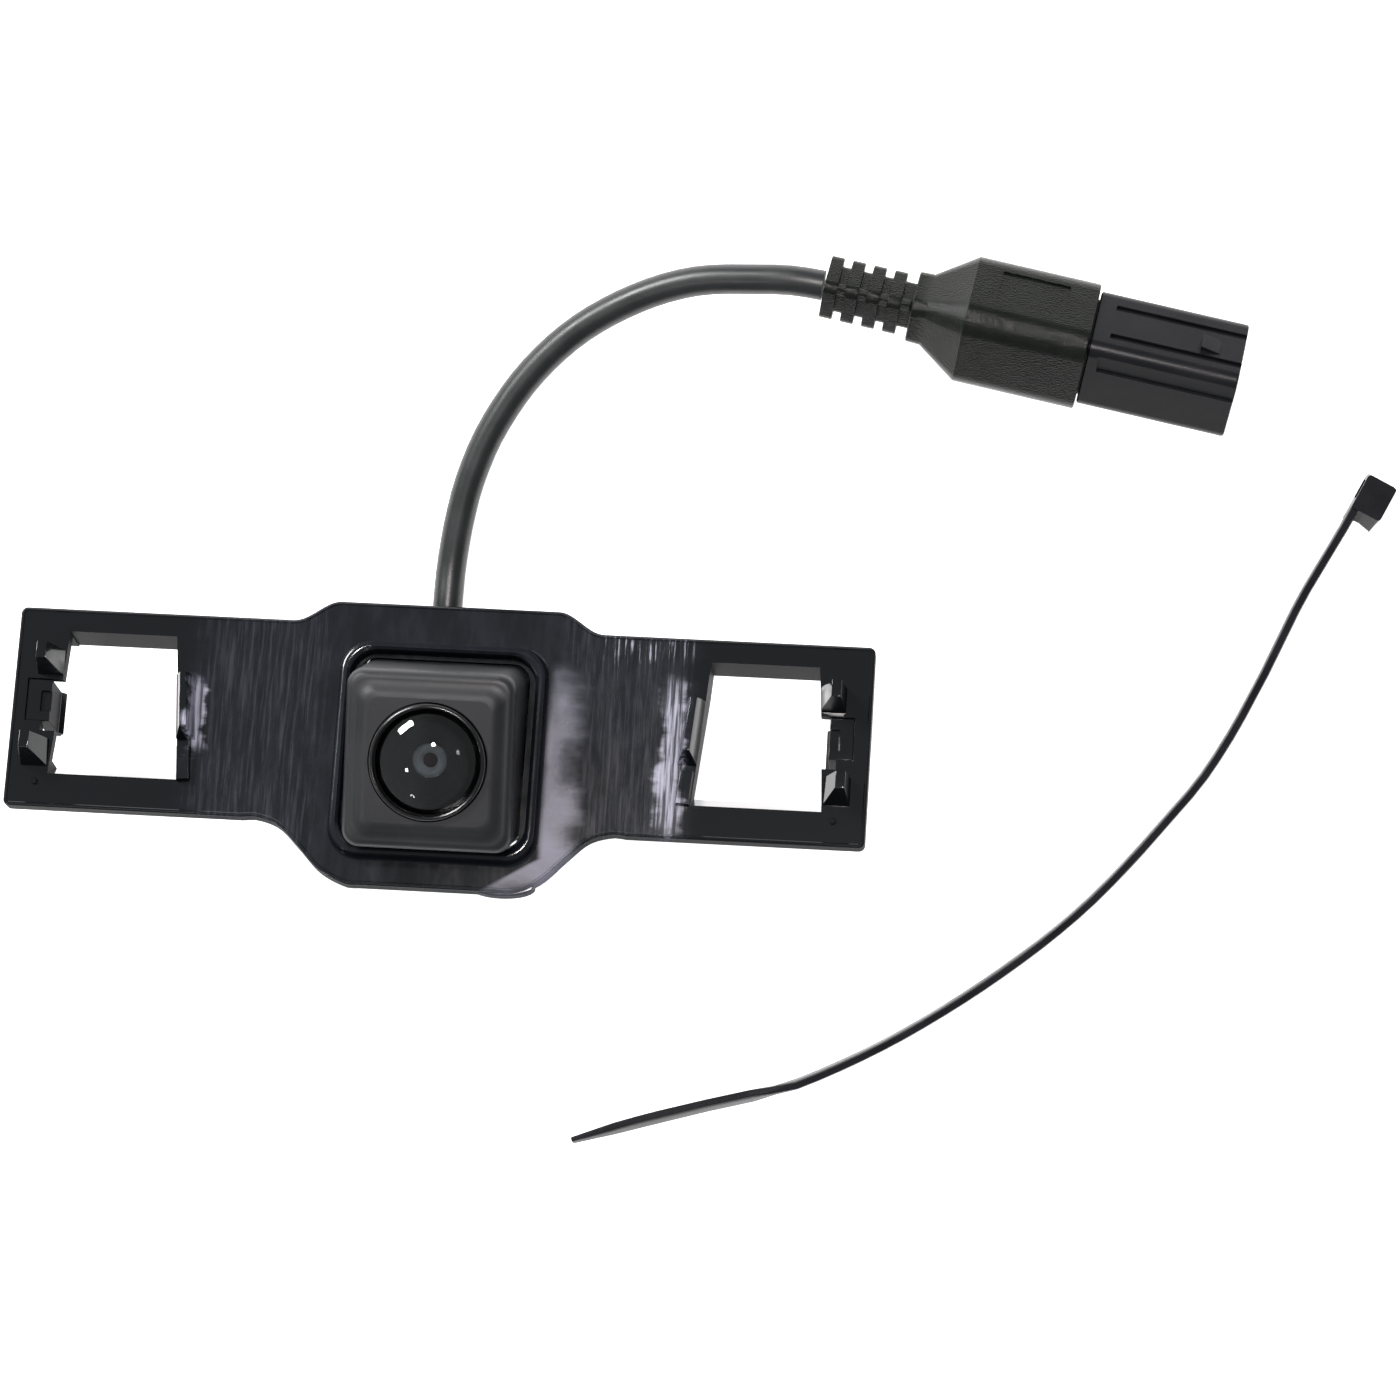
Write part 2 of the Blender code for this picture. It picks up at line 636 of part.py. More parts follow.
def makePlug():
    ribs = []
    core = (4.5 * MM, 1.3 * MM)
    rib = (6.7 * MM, 1.3 * MM)
    for number in range(ribCount):
        start = number * ribPitch
        ribs += [squareSection(*rib, start), squareSection(*rib, start + ribLength)]
        ribs += [squareSection(*core, start + ribLength),
                 squareSection(*core, start + ribPitch)]
    ribs[-1] = squareSection(*core, bodyStart - GAP)
    boot = loft(ribs)
    place(boot, "strain_relief", plugBlack, plugFrame)
    for number in range(ribCount):
        low = number * ribPitch + ribLength - 0.2 * MM
        high = low + ribPitch - ribLength + 0.4 * MM
        if number == ribCount - 1:
            high = bodyStart - GAP
        for flip in (-1, 1):
            bar = rod(0.85 * MM, low, high, steps=8)
            offset = flip * 2.35 * MM
            turn = 1 if number % 2 else -1
            bar.location = (offset, turn * offset, 0)
            weld(boot, bar, f"boot_link_{number}_{flip + 1}", plugFrame)

    body = loft([
        squareSection(7.4 * MM, 1.7 * MM, bodyStart),
        squareSection(7.5 * MM, 1.7 * MM, 14.0 * MM),
        squareSection(bodySide, 2.0 * MM, 19.4 * MM),
        squareSection(bodySide, 2.0 * MM, bodyEnd - 0.4 * MM),
        squareSection(bodySide - 0.5 * MM, 1.8 * MM, bodyEnd),
    ])
    place(body, "plug_overmould", plugBlack, plugFrame)
    face = bodySide / 2
    label = block((-face - MM, -2.2 * MM, 23.2 * MM),
                  (-face + 0.3 * MM, 3.4 * MM, 32.4 * MM))
    cut(body, label, "label_recess", plugFrame)

    start = bodyEnd + GAP
    housing = loft([
        squareSection(socketSide - 0.4 * MM, 1.4 * MM, start),
        squareSection(socketSide, 1.5 * MM, start + 0.3 * MM),
        squareSection(socketSide, 1.5 * MM, socketEnd - 0.3 * MM),
        squareSection(socketSide - 0.4 * MM, 1.4 * MM, socketEnd),
    ])
    place(housing, "connector_housing", socketBlack, plugFrame)
    half = socketSide / 2
    inner = half - socketWall
    cut(housing, slab([roundedRect(inner, inner, 0.9 * MM, 2)], socketFloor, 60 * MM),
        "socket_mouth", plugFrame)
    for number, place2 in enumerate((3.5 * MM, -1.9 * MM)):
        groove = block((-half - MM, place2 - 0.45 * MM, start + 2.4 * MM),
                       (-half + 0.6 * MM, place2 + 0.45 * MM, 60 * MM))
        cut(housing, groove, f"track_groove_{number}", plugFrame)
    ramp = loft([
        [Vector((-half + 0.3 * MM, y, z)) for y, z in ((-0.4 * MM, 50.6 * MM),
         (2.2 * MM, 50.6 * MM), (2.2 * MM, 53.2 * MM), (-0.4 * MM, 53.2 * MM))],
        [Vector((-half - 0.75 * MM, y, z)) for y, z in ((-0.3 * MM, 50.7 * MM),
         (2.1 * MM, 50.7 * MM), (2.1 * MM, 51.5 * MM), (-0.3 * MM, 51.5 * MM))],
    ])
    weld(housing, ramp, "lock_ramp", plugFrame)
    band = block((-half + 0.4 * MM, -half - MM, start + 1.6 * MM),
                 (-half + 3.6 * MM, -half + 0.35 * MM, 60 * MM))
    cut(housing, band, "side_band", plugFrame)

    reach = inner - GAP
    carrier = slab([roundedRect(reach, reach, 0.7 * MM, 2)],
                   socketFloor + GAP, socketFloor + 2.2 * MM)
    place(carrier, "pin_carrier", socketBlack, plugFrame)
    spots = [(sx * 1.7 * MM, sy * 1.7 * MM) for sy in (-1, 1) for sx in (-1, 1)]
    for number, (x, y) in enumerate(spots, 1):
        cut(carrier, rod(0.75 * MM, 40 * MM, 46 * MM, x, y, 8), f"pin_hole_{number}", plugFrame)
        pin = turned([(0, 46.8 * MM), (0.25 * MM, 46.8 * MM), (0.45 * MM, 46.3 * MM),
                      (0.45 * MM, socketFloor + GAP), (0, socketFloor + GAP)], steps=10)
        pin.location = (x, y, 0)
        place(pin, f"contact_pin_{number}", gold, plugFrame)
    seal = slab([roundedRect(reach, reach, 0.7 * MM, 2),
                 roundedRect(reach - 0.8 * MM, reach - 0.8 * MM, 0.5 * MM, 2)],
                socketFloor + 2.5 * MM, socketFloor + 3.5 * MM)
    place(seal, "connector_seal", rubber, plugFrame)


# ---- cable tie ----------------------------------------------------------------------------

tieRoute = [
    Vector(point) * MM for point in (
        (18.9, -54.0, 1.5), (28.2, -50.8, 1.7), (36.4, -48.3, 1.85), (44.6, -46.0, 1.9),
        (51.3, -43.6, 1.9), (63.4, -37.0, 1.9), (76.6, -27.7, 1.9), (88.4, -17.2, 1.9),
        (99.9, -3.4, 1.9), (105.0, 4.2, 1.9), (109.9, 14.1, 1.95), (114.7, 25.3, 2.15),
        (119.5, 34.5, 2.45), (121.4, 38.4, 2.5),
    )
]


def makeTie():
    points = throughSmooth(tieRoute, 3.2 * MM)
    heading = (points[-1] - points[-2]).normalized()
    sections = []
    for number, point in enumerate(points):
        before = points[max(0, number - 1)]
        after = points[min(len(points) - 1, number + 1)]
        along = (after - before).normalized()
        across = Vector((0, 0, 1)).cross(along).normalized()
        # on edge along its length, and leaning a little in the last stretch before the tip
        lean = math.radians(21) * min(1.0, max(0.0, (49 * MM - point.x) / (5 * MM)))
        wide = Vector((0, 0, 1)) * math.cos(lean) + across * math.sin(lean)
        thin = along.cross(wide).normalized()
        share = min(1.0, 0.45 + number * 0.2)
        halfWide = strapWide / 2 * share
        halfThin = strapThick / 2 * min(1.0, 0.6 + number * 0.2)
        lowest = 0.05 * MM + halfWide * math.cos(lean) + halfThin * math.sin(lean)
        point = Vector((point.x, point.y, max(point.z, lowest)))
        sections.append([
            point + thin * halfThin * a + wide * halfWide * b
            for a, b in ((-1, -0.7), (-0.7, -1), (0.7, -1), (1, -0.7),
                         (1, 0.7), (0.7, 1), (-0.7, 1), (-1, 0.7))
        ])
    strap = loft(sections)
    place(strap, "cable_tie", nylonBlack)

    # the head stands beside the strap's end, flush with its left face
    headFrame = Matrix.Translation((points[-1].x, points[-1].y, 0)) @ Matrix.Rotation(
        math.atan2(heading.y, heading.x), 4, "Z")
    left = strapThick / 2
    head = loft([
        [Vector((x, y, 0.05 * MM)) for x, y in (
            (-1.5 * MM, left), (-1.5 * MM, left - tieHeadWide),
            (tieHeadLong - 1.7 * MM, left - tieHeadWide), (tieHeadLong - 1.7 * MM, left))],
        [Vector((x, y, tieHeadTall)) for x, y in (
            (-0.3 * MM, left), (-0.3 * MM, left - tieHeadWide),
            (tieHeadLong - 1.7 * MM, left - tieHeadWide), (tieHeadLong - 1.7 * MM, left))],
    ])
    head.matrix_world = headFrame
    weld(strap, head, "tie_head_blank")
    slot = block((1.0 * MM, -9 * MM, 0.6 * MM), (3.7 * MM, 9 * MM, 4.4 * MM))
    slot.matrix_world = headFrame
    cut(strap, slot, "tie_slot")

    pawl = loft([
        [Vector((x, y, 0.95 * MM)) for x, y in (
            (-0.4 * MM, 0), (0.35 * MM, 0), (0.35 * MM, -2.2 * MM), (-0.4 * MM, -2.5 * MM))],
        [Vector((x, y, 4.05 * MM)) for x, y in (
            (-0.4 * MM, 0), (0.35 * MM, 0), (0.35 * MM, -2.2 * MM), (-0.4 * MM, -2.5 * MM))],
    ])
    pawl.matrix_world = headFrame @ Matrix.Translation((3.0 * MM, -0.2 * MM, 0))
    place(pawl, "tie_pawl", nylonBlack)


makeBracket()
makeTongue(-1, "left")
makeTongue(1, "right")
makeRearCover()
makeFrontHousing()
makeLens()
makeElectronics()
makeScrews()
makeGland()
makeCable()
makePlug()
makeTie()
bpy.context.view_layer.update()
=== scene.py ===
import bmesh
import bpy
import math
from mathutils import Matrix, Vector


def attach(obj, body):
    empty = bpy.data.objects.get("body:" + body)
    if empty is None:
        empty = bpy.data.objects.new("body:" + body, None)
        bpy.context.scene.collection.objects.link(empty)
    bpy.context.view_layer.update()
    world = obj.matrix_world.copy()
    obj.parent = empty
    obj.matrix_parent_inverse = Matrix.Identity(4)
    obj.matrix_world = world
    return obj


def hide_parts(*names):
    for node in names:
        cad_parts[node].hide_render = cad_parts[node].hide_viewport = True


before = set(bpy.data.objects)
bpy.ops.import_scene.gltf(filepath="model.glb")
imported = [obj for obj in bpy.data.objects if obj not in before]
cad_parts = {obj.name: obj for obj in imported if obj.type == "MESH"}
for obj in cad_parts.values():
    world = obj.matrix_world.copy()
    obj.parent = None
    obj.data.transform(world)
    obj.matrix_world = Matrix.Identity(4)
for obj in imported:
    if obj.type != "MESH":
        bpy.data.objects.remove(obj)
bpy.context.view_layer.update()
mm = 0.001
print("frame loaded")

cameraSetup = {
    "aim": (33.87, 7.64, 0.0),
    "distance": 700.0,
    "leanX": 4.0,
    "leanY": 5.0,
    "roll": 2.8,
    "lens": 131.4,
}


def makeCamera():
    towards = Vector((
        math.sin(math.radians(cameraSetup["leanX"])),
        math.sin(math.radians(cameraSetup["leanY"])),
        0.0,
    ))
    towards.z = math.sqrt(1 - towards.length_squared)
    right = (Vector((1, 0, 0)) - towards * towards.x).normalized()
    up = towards.cross(right)
    roll = math.radians(cameraSetup["roll"])
    rolledRight = right * math.cos(roll) + up * math.sin(roll)
    rolledUp = up * math.cos(roll) - right * math.sin(roll)
    place = (Vector(cameraSetup["aim"]) + towards * cameraSetup["distance"]) * mm
    lens = bpy.data.cameras.new("studioCamera")
    lens.lens = cameraSetup["lens"]
    lens.sensor_width = 36
    camera = bpy.data.objects.new("studioCamera", lens)
    bpy.context.scene.collection.objects.link(camera)
    turned = Matrix((rolledRight, rolledUp, towards)).transposed().to_4x4()
    camera.matrix_world = Matrix.Translation(place) @ turned
    bpy.context.scene.camera = camera


makeCamera()
print("camera placed")


def newMaterial(name, colour, roughness, metallic=0.0, **fixed):
    made = bpy.data.materials.new(name)
    made.use_nodes = True
    shader = made.node_tree.nodes["Principled BSDF"]
    shader.inputs["Base Color"].default_value = (*colour, 1)
    shader.inputs["Roughness"].default_value = roughness
    shader.inputs["Metallic"].default_value = metallic
    for socket, value in fixed.items():
        shader.inputs[socket.replace("_", " ")].default_value = value
    return made


def addNode(made, kind, settings=None, values=None):
    node = made.node_tree.nodes.new(kind)
    for key, value in (settings or {}).items():
        setattr(node, key, value)
    for key, value in (values or {}).items():
        if isinstance(value, bpy.types.NodeSocket):
            made.node_tree.links.new(value, node.inputs[key])
        else:
            node.inputs[key].default_value = value
    return node


def shaderOf(made):
    return made.node_tree.nodes["Principled BSDF"]


def feed(made, source, socket):
    made.node_tree.links.new(source, shaderOf(made).inputs[socket])


# Object coordinates, turned and stretched; scale counts pattern cells per metre
def patternPlace(made, scale=(1, 1, 1), turn=(0, 0, 0), shift=(0, 0, 0)):
    coordinates = addNode(made, "ShaderNodeTexCoord")
    turned = addNode(made, "ShaderNodeMapping", {"vector_type": "POINT"},
                     {"Vector": coordinates.outputs["Object"], "Rotation": turn, "Location": shift})
    stretched = addNode(made, "ShaderNodeVectorMath", {"operation": "MULTIPLY"},
                        {0: turned.outputs[0], 1: scale})
    return stretched.outputs[0]


def noise(made, place, scale=1.0, detail=3.0, roughness=0.55):
    node = addNode(made, "ShaderNodeTexNoise", None,
                   {"Vector": place, "Scale": scale, "Detail": detail, "Roughness": roughness})
    return node.outputs["Fac"]


def remap(made, value, low, high, newLow=0.0, newHigh=1.0):
    node = addNode(made, "ShaderNodeMapRange", {"interpolation_type": "SMOOTHSTEP"},
                   {"Value": value, "From Min": low, "From Max": high,
                    "To Min": newLow, "To Max": newHigh})
    return node.outputs[0]


def maths(made, operation, first, second):
    node = addNode(made, "ShaderNodeMath", {"operation": operation}, {0: first, 1: second})
    return node.outputs[0]


def mixColour(made, share, first, second):
    node = addNode(made, "ShaderNodeMix", {"data_type": "RGBA"}, {"Factor": share})
    for key, value in ((6, first), (7, second)):
        if isinstance(value, bpy.types.NodeSocket):
            made.node_tree.links.new(value, node.inputs[key])
        else:
            node.inputs[key].default_value = (*value, 1)
    return node.outputs[2]


def bump(made, height, distance, strength=1.0):
    node = addNode(made, "ShaderNodeBump", None,
                   {"Height": height, "Distance": distance, "Strength": strength})
    return node.outputs[0]


bracketTilt = math.radians(19.0)
bracketZ = 15.0


# moulded plastic: faint flow mottling, a fine grain and slightly uneven gloss
def mouldedPlastic(name, colour, roughness, grain=9000.0, depth=0.00001, mottle=0.25, **fixed):
    made = newMaterial(name, colour, roughness, **fixed)
    place = patternPlace(made)
    cloud = noise(made, place, 160.0, 4.0)
    fine = noise(made, place, grain, 2.0)
    lighter = tuple(channel * (1 + mottle) for channel in colour)
    darker = tuple(channel * (1 - mottle) for channel in colour)
    feed(made, mixColour(made, remap(made, cloud, 0.3, 0.7), darker, lighter), "Base Color")
    feed(made, remap(made, cloud, 0.3, 0.7, roughness * 0.88, roughness * 1.12), "Roughness")
    feed(made, bump(made, fine, depth), "Normal")
    return made


# glossy bracket plastic: hazed by handling round the camera, with brushed streaks and whitish scuffs along
# its depth, whitish painted reflections beside the rim and along the clip posts, and painted shade on the
# sideways walls, which are rougher and reflect less
def bracketFinish():
    base = (0.0035, 0.0042, 0.0052)
    made = newMaterial("bracketGloss", base, 0.1, IOR=1.5)
    turn = (bracketTilt, 0, 0)
    lift = bracketZ * mm * math.sin(bracketTilt)
    face = patternPlace(made, turn=turn, shift=(0, lift, 0))
    parts = addNode(made, "ShaderNodeSeparateXYZ", None, {0: face})
    x, y = parts.outputs[0], parts.outputs[1]
    wander = noise(made, patternPlace(made, (90, 260, 90), turn), 1.0, 4.0)
    streaks = noise(made, patternPlace(made, (1900, 95, 1900), turn), 1.0, 5.0, 0.62)
    hairs = noise(made, patternPlace(made, (5200, 160, 5200), turn), 1.0, 3.0, 0.6)
    cloud = noise(made, patternPlace(made, (150, 110, 150), turn), 1.0, 4.0)
    smear = noise(made, patternPlace(made, (420, 110, 420), turn), 1.0, 6.0, 0.68)
    bend = maths(made, "MULTIPLY", maths(made, "SUBTRACT", wander, 0.5), 0.006)
    bentX = maths(made, "ADD", x, bend)
    bentY = maths(made, "ADD", y, bend)

    # a soft band between two edges, in metres
    def band(low, high, soft, along=bentX):
        rise = remap(made, along, low - soft, low + soft)
        fall = remap(made, along, high - soft, high + soft, 1.0, 0.0)
        return maths(made, "MULTIPLY", rise, fall)

    def both(first, second):
        return maths(made, "MULTIPLY", first, second)

    def either(first, second):
        return maths(made, "MAXIMUM", first, second)

    middle = band(-0.0335, 0.0335, 0.003)
    sides = either(band(-0.0330, -0.0165, 0.002), band(0.0165, 0.0330, 0.002))
    smeared = remap(made, smear, 0.38, 0.62, 0.5, 1.0)
    haze = both(middle, both(smeared, remap(made, cloud, 0.3, 0.6, 0.6, 1.0)))
    flow = both(sides, remap(made, streaks, 0.44, 0.70))
    # beside the rim, and swept in under its lower corner: a whitish mark that is partly a scuff and partly
    # a painted reflection off the curved surface round the rim
    below = maths(made, "MAXIMUM", maths(made, "SUBTRACT", -0.0138, y), 0.0)
    swept = maths(made, "ADD", x, maths(made, "MULTIPLY", below, 1.6))
    besideRim = both(remap(made, swept, 0.0140, 0.0152), remap(made, bentX, 0.0148, 0.0205, 1.0, 0.0))
    rimScuffAndReflection = both(both(besideRim, band(-0.0172, 0.0095, 0.004, bentY)),
                    remap(made, both(cloud, remap(made, y, 0.010, -0.014, 0.6, 1.0)), 0.15, 0.6, 0.3, 0.9))
    # whitish strips along the clip posts: painted reflections of the white floor in their glossy sides
    rightPostReflection = both(both(band(0.0296, 0.0326, 0.0008), band(-0.0090, 0.0105, 0.003, bentY)),
                     remap(made, streaks, 0.40, 0.62, 0.1, 1.0))
    leftPostReflection = both(both(band(-0.0342, -0.0322, 0.0005), band(-0.0010, 0.0088, 0.0015, bentY)),
                    remap(made, streaks, 0.36, 0.60, 0.2, 1.0))
    topScuff = both(both(band(0.0220, 0.0325, 0.002), band(0.0145, 0.0172, 0.0008, bentY)),
                    remap(made, streaks, 0.52, 0.66))
    # the whitish mix: brushed streaks and the top scuff are real wear, the clip-post strips are painted
    # reflections, and the rim mark is both
    scuffAndSheen = either(both(flow, 0.06), either(either(leftPostReflection, topScuff), either(rimScuffAndReflection, rightPostReflection)))
    colour = mixColour(made, haze, base, (0.0055, 0.0068, 0.0100))
    colour = mixColour(made, scuffAndSheen, colour, (0.27, 0.27, 0.34))
    feed(made, colour, "Base Color")
    normal = addNode(made, "ShaderNodeMapping", {"vector_type": "POINT"},
                     {"Vector": addNode(made, "ShaderNodeTexCoord").outputs["Normal"],
                      "Rotation": turn})
    upward = addNode(made, "ShaderNodeSeparateXYZ", None, {0: normal.outputs[0]}).outputs[2]
    facing = remap(made, upward, 0.06, 0.32)
    # the walls facing sideways reflect less: a painted shade for the shaded floor under the bracket that
    # they would mirror
    feed(made, remap(made, facing, 0.0, 1.0, 0.03, 0.3), "Specular IOR Level")
    rough = maths(made, "ADD", 0.09, both(scuffAndSheen, 0.35))
    rough = maths(made, "ADD", rough, both(haze, 0.09))
    rough = maths(made, "ADD", rough, remap(made, facing, 0.0, 1.0, 0.4, 0.0))
    feed(made, rough, "Roughness")
    feed(made, bump(made, both(hairs, sides), 0.000018, 0.6), "Normal")
    return made


# spark-eroded texture: a coarse glittering grain over a matte olive grey
def overmouldFinish(name, colour, roughness, grain, depth):
    made = newMaterial(name, colour, roughness, Specular_IOR_Level=0.2)
    place = patternPlace(made)
    cells = addNode(made, "ShaderNodeTexVoronoi", {"feature": "F1"},
                    {"Vector": place, "Scale": grain, "Randomness": 1.0}).outputs["Distance"]
    fine = noise(made, place, grain * 1.7, 2.0)
    cloud = noise(made, place, 240.0, 4.0)
    height = maths(made, "ADD", cells, maths(made, "MULTIPLY", fine, 0.6))
    lighter = tuple(channel * 1.35 for channel in colour)
    darker = tuple(channel * 0.75 for channel in colour)
    feed(made, mixColour(made, remap(made, cloud, 0.3, 0.7), darker, lighter), "Base Color")
    feed(made, remap(made, fine, 0.35, 0.65, roughness * 0.6, roughness * 1.3), "Roughness")
    feed(made, bump(made, height, depth), "Normal")
    return made


# turned or stamped metal with fine lines round and across it
def metalFinish(name, colour, roughness, lines=7000.0, depth=0.000006):
    made = newMaterial(name, colour, roughness, 1.0)
    place = patternPlace(made, (1, 1, 6))
    marks = noise(made, place, lines, 2.0)
    stain = noise(made, patternPlace(made), 500.0, 4.0)
    worn = tuple(channel * 0.7 for channel in colour)
    feed(made, mixColour(made, remap(made, stain, 0.35, 0.7), colour, worn), "Base Color")
    feed(made, remap(made, marks, 0.3, 0.7, roughness * 0.75, roughness * 1.3), "Roughness")
    feed(made, bump(made, marks, depth), "Normal")
    return made


# solder mask over copper tracks
def boardFinish():
    mask, track = (0.008, 0.075, 0.028), (0.03, 0.16, 0.06)
    made = newMaterial("boardMask", mask, 0.35)
    place = patternPlace(made)
    tracks = addNode(made, "ShaderNodeTexBrick", {"offset": 0.35},
                     {"Vector": place, "Scale": 620.0, "Mortar Size": 0.09, "Mortar Smooth": 0.2})
    feed(made, mixColour(made, tracks.outputs["Fac"], mask, track), "Base Color")
    feed(made, bump(made, tracks.outputs["Fac"], 0.00002), "Normal")
    feed(made, remap(made, noise(made, place, 900.0), 0.3, 0.7, 0.28, 0.42), "Roughness")
    return made


def glassFinish(name, colour, ior=1.52):
    made = newMaterial(name, colour, 0.0, IOR=ior)
    shaderOf(made).inputs["Transmission Weight"].default_value = 1.0
    shaderOf(made).inputs["Specular IOR Level"].default_value = 0.08
    place = patternPlace(made)
    feed(made, remap(made, noise(made, place, 1200.0), 0.4, 0.8, 0.0, 0.015), "Roughness")
    return made


finishes = {
    "bracket": bracketFinish(),
    "housing": mouldedPlastic("housingSatin", (0.0075, 0.0083, 0.0102), 0.46, 7500.0, 0.000012, 0.05,
                              Specular_IOR_Level=0.38),
    "rear": mouldedPlastic("rearSatin", (0.016, 0.016, 0.018), 0.5, 5200.0, 0.00003, 0.12),
    "ring": mouldedPlastic("ringBlack", (0.002, 0.002, 0.0025), 0.22, 9000.0, 0.000003, 0.1),
    "baffle": mouldedPlastic("baffleBlack", (0.0012, 0.0012, 0.0015), 0.6, 9000.0, 0.000004, 0.1,
                             Specular_IOR_Level=0.04),
    "iris": mouldedPlastic("irisGrey", (0.62, 0.68, 0.65), 0.5, 5200.0, 0.000006, 0.25),
    "pupil": mouldedPlastic("pupilRed", (0.060, 0.006, 0.008), 0.08, 9000.0, 0.000002, 0.3),
    "glass": glassFinish("frontGlass", (0.30, 0.31, 0.335)),
    "innerGlass": glassFinish("innerGlass", (0.8, 0.86, 0.95), 1.6),
    "filter": glassFinish("filterGlass", (0.5, 0.75, 0.8)),
    "barrel": metalFinish("barrelMetal", (0.02, 0.02, 0.022), 0.35),
    "steel": metalFinish("screwSteel", (0.46, 0.46, 0.47), 0.32),
    "brass": metalFinish("contactBrass", (0.78, 0.56, 0.24), 0.25),
    "rubber": mouldedPlastic("sealRubber", (0.014, 0.014, 0.014), 0.72, 4200.0, 0.00003, 0.2),
    "board": boardFinish(),
    "chip": mouldedPlastic("chipBlack", (0.018, 0.018, 0.02), 0.55, 6000.0, 0.00002, 0.15),
    "cable": mouldedPlastic("cablePvc", (0.0055, 0.0065, 0.0070), 0.38, 5200.0, 0.000012),
    "overmould": overmouldFinish("overmouldPvc", (0.0036, 0.0048, 0.0034), 0.20, 5200.0, 0.00004),
    "connector": mouldedPlastic("connectorNylon", (0.0048, 0.0050, 0.0064), 0.36, 6500.0, 0.000014,
                                0.12, Specular_IOR_Level=0.2),
    "tie": mouldedPlastic("tieNylon", (0.010, 0.010, 0.012), 0.28, 2600.0, 0.00002, 0.2,
                          Specular_IOR_Level=0.07),
    "redWire": mouldedPlastic("redWire", (0.5, 0.02, 0.02), 0.4),
    "blackWire": mouldedPlastic("blackWire", (0.02, 0.02, 0.02), 0.4),
    "yellowWire": mouldedPlastic("yellowWire", (0.7, 0.5, 0.02), 0.4),
    "greenWire": mouldedPlastic("greenWire", (0.02, 0.25, 0.06), 0.4),
}
print("finishes mixed")


def alone(obj):
    if bpy.context.mode != "OBJECT":
        bpy.ops.object.mode_set(mode="OBJECT")
    bpy.ops.object.select_all(action="DESELECT")
    bpy.context.view_layer.objects.active = obj
    obj.select_set(True)


def applyPlace(obj):
    alone(obj)
    bpy.ops.object.transform_apply(location=True, rotation=True, scale=True)


# puts a piece that was modelled at the origin into one of the object's frames
def moveInto(obj, place):
    obj.matrix_world = place
    applyPlace(obj)


# selects the corners, edges or faces whose middle passes a test
def choose(obj, kind, test):
    bpy.ops.mesh.select_mode(type=kind)
    bpy.ops.mesh.select_all(action="DESELECT")
    shape = bmesh.from_edit_mesh(obj.data)
    for item in {"VERT": shape.verts, "EDGE": shape.edges, "FACE": shape.faces}[kind]:
        if kind == "VERT":
            middle = item.co
        elif kind == "EDGE":
            middle = (item.verts[0].co + item.verts[1].co) / 2
        else:
            middle = item.calc_center_median()
        if test(middle / mm, item):
            item.select_set(True)
    shape.select_flush_mode()
    bmesh.update_edit_mesh(obj.data)


def startEdit(obj):
    alone(obj)
    bpy.ops.object.mode_set(mode="EDIT")


def endEdit():
    bpy.ops.mesh.select_all(action="SELECT")
    bpy.ops.mesh.normals_make_consistent(inside=False)
    bpy.ops.object.mode_set(mode="OBJECT")


# raises the selected face through a run of (height, halfX, halfY), in millimetres
def raiseThrough(steps):
    low, halfX, halfY = steps[0]
    for height, nextX, nextY in steps[1:]:
        bpy.ops.mesh.extrude_region_move(
            TRANSFORM_OT_translate={"value": (0, 0, (height - low) * mm)})
        bpy.ops.transform.resize(value=(nextX / halfX, nextY / halfY, 1),
                                 center_override=(0, 0, height * mm))
        low, halfX, halfY = height, nextX, nextY


# a body on a rounded rectangle, raised through its sections
def squareBody(name, corner, steps, rounds=6):
    low, halfX, halfY = steps[0]
    bpy.ops.object.select_all(action="DESELECT")
    bpy.ops.mesh.primitive_plane_add(size=2, location=(0, 0, low * mm))
    body = bpy.context.object
    body.name = name
    body.scale = (halfX * mm, halfY * mm, 1)
    applyPlace(body)
    startEdit(body)
    bpy.ops.mesh.select_all(action="SELECT")
    bpy.ops.mesh.bevel(affect="VERTICES", offset=corner * mm, segments=rounds)
    bpy.ops.mesh.select_all(action="SELECT")
    raiseThrough(steps)
    endEdit()
    return body


# a turned body, raised through its (height, radius) sections
def roundBody(name, steps, sides=64):
    low, radius = steps[0]
    bpy.ops.object.select_all(action="DESELECT")
    bpy.ops.mesh.primitive_circle_add(vertices=sides, radius=radius * mm, fill_type="NGON",
                                      location=(0, 0, low * mm))
    body = bpy.context.object
    body.name = name
    applyPlace(body)
    startEdit(body)
    bpy.ops.mesh.select_all(action="SELECT")
    raiseThrough([(height, wide, wide) for height, wide in steps])
    endEdit()
    return body


# a block whose top is drawn in, with softened edges; base and tip are (x0, x1, y0, y1)
def taperedBlock(name, base, tip, low, high, soft):
    x0, x1, y0, y1 = base
    bpy.ops.object.select_all(action="DESELECT")
    bpy.ops.mesh.primitive_cube_add(
        size=1, location=((x0 + x1) / 2 * mm, (y0 + y1) / 2 * mm, (low + high) / 2 * mm))
    body = bpy.context.object
    body.name = name
    body.scale = ((x1 - x0) * mm, (y1 - y0) * mm, (high - low) * mm)
    applyPlace(body)
    startEdit(body)
    choose(body, "FACE", lambda middle, item: item.normal.z > 0.9)
    a0, a1, b0, b1 = tip
    bpy.ops.transform.resize(value=((a1 - a0) / (x1 - x0), (b1 - b0) / (y1 - y0), 1),
                             center_override=((x0 + x1) / 2 * mm, (y0 + y1) / 2 * mm, high * mm))
    bpy.ops.transform.translate(
        value=((a0 + a1 - x0 - x1) / 2 * mm, (b0 + b1 - y0 - y1) / 2 * mm, 0))
    bpy.ops.mesh.select_all(action="SELECT")
    if soft:
        bpy.ops.mesh.bevel(offset=soft * mm, segments=2, affect="EDGES")
    endEdit()
    return body


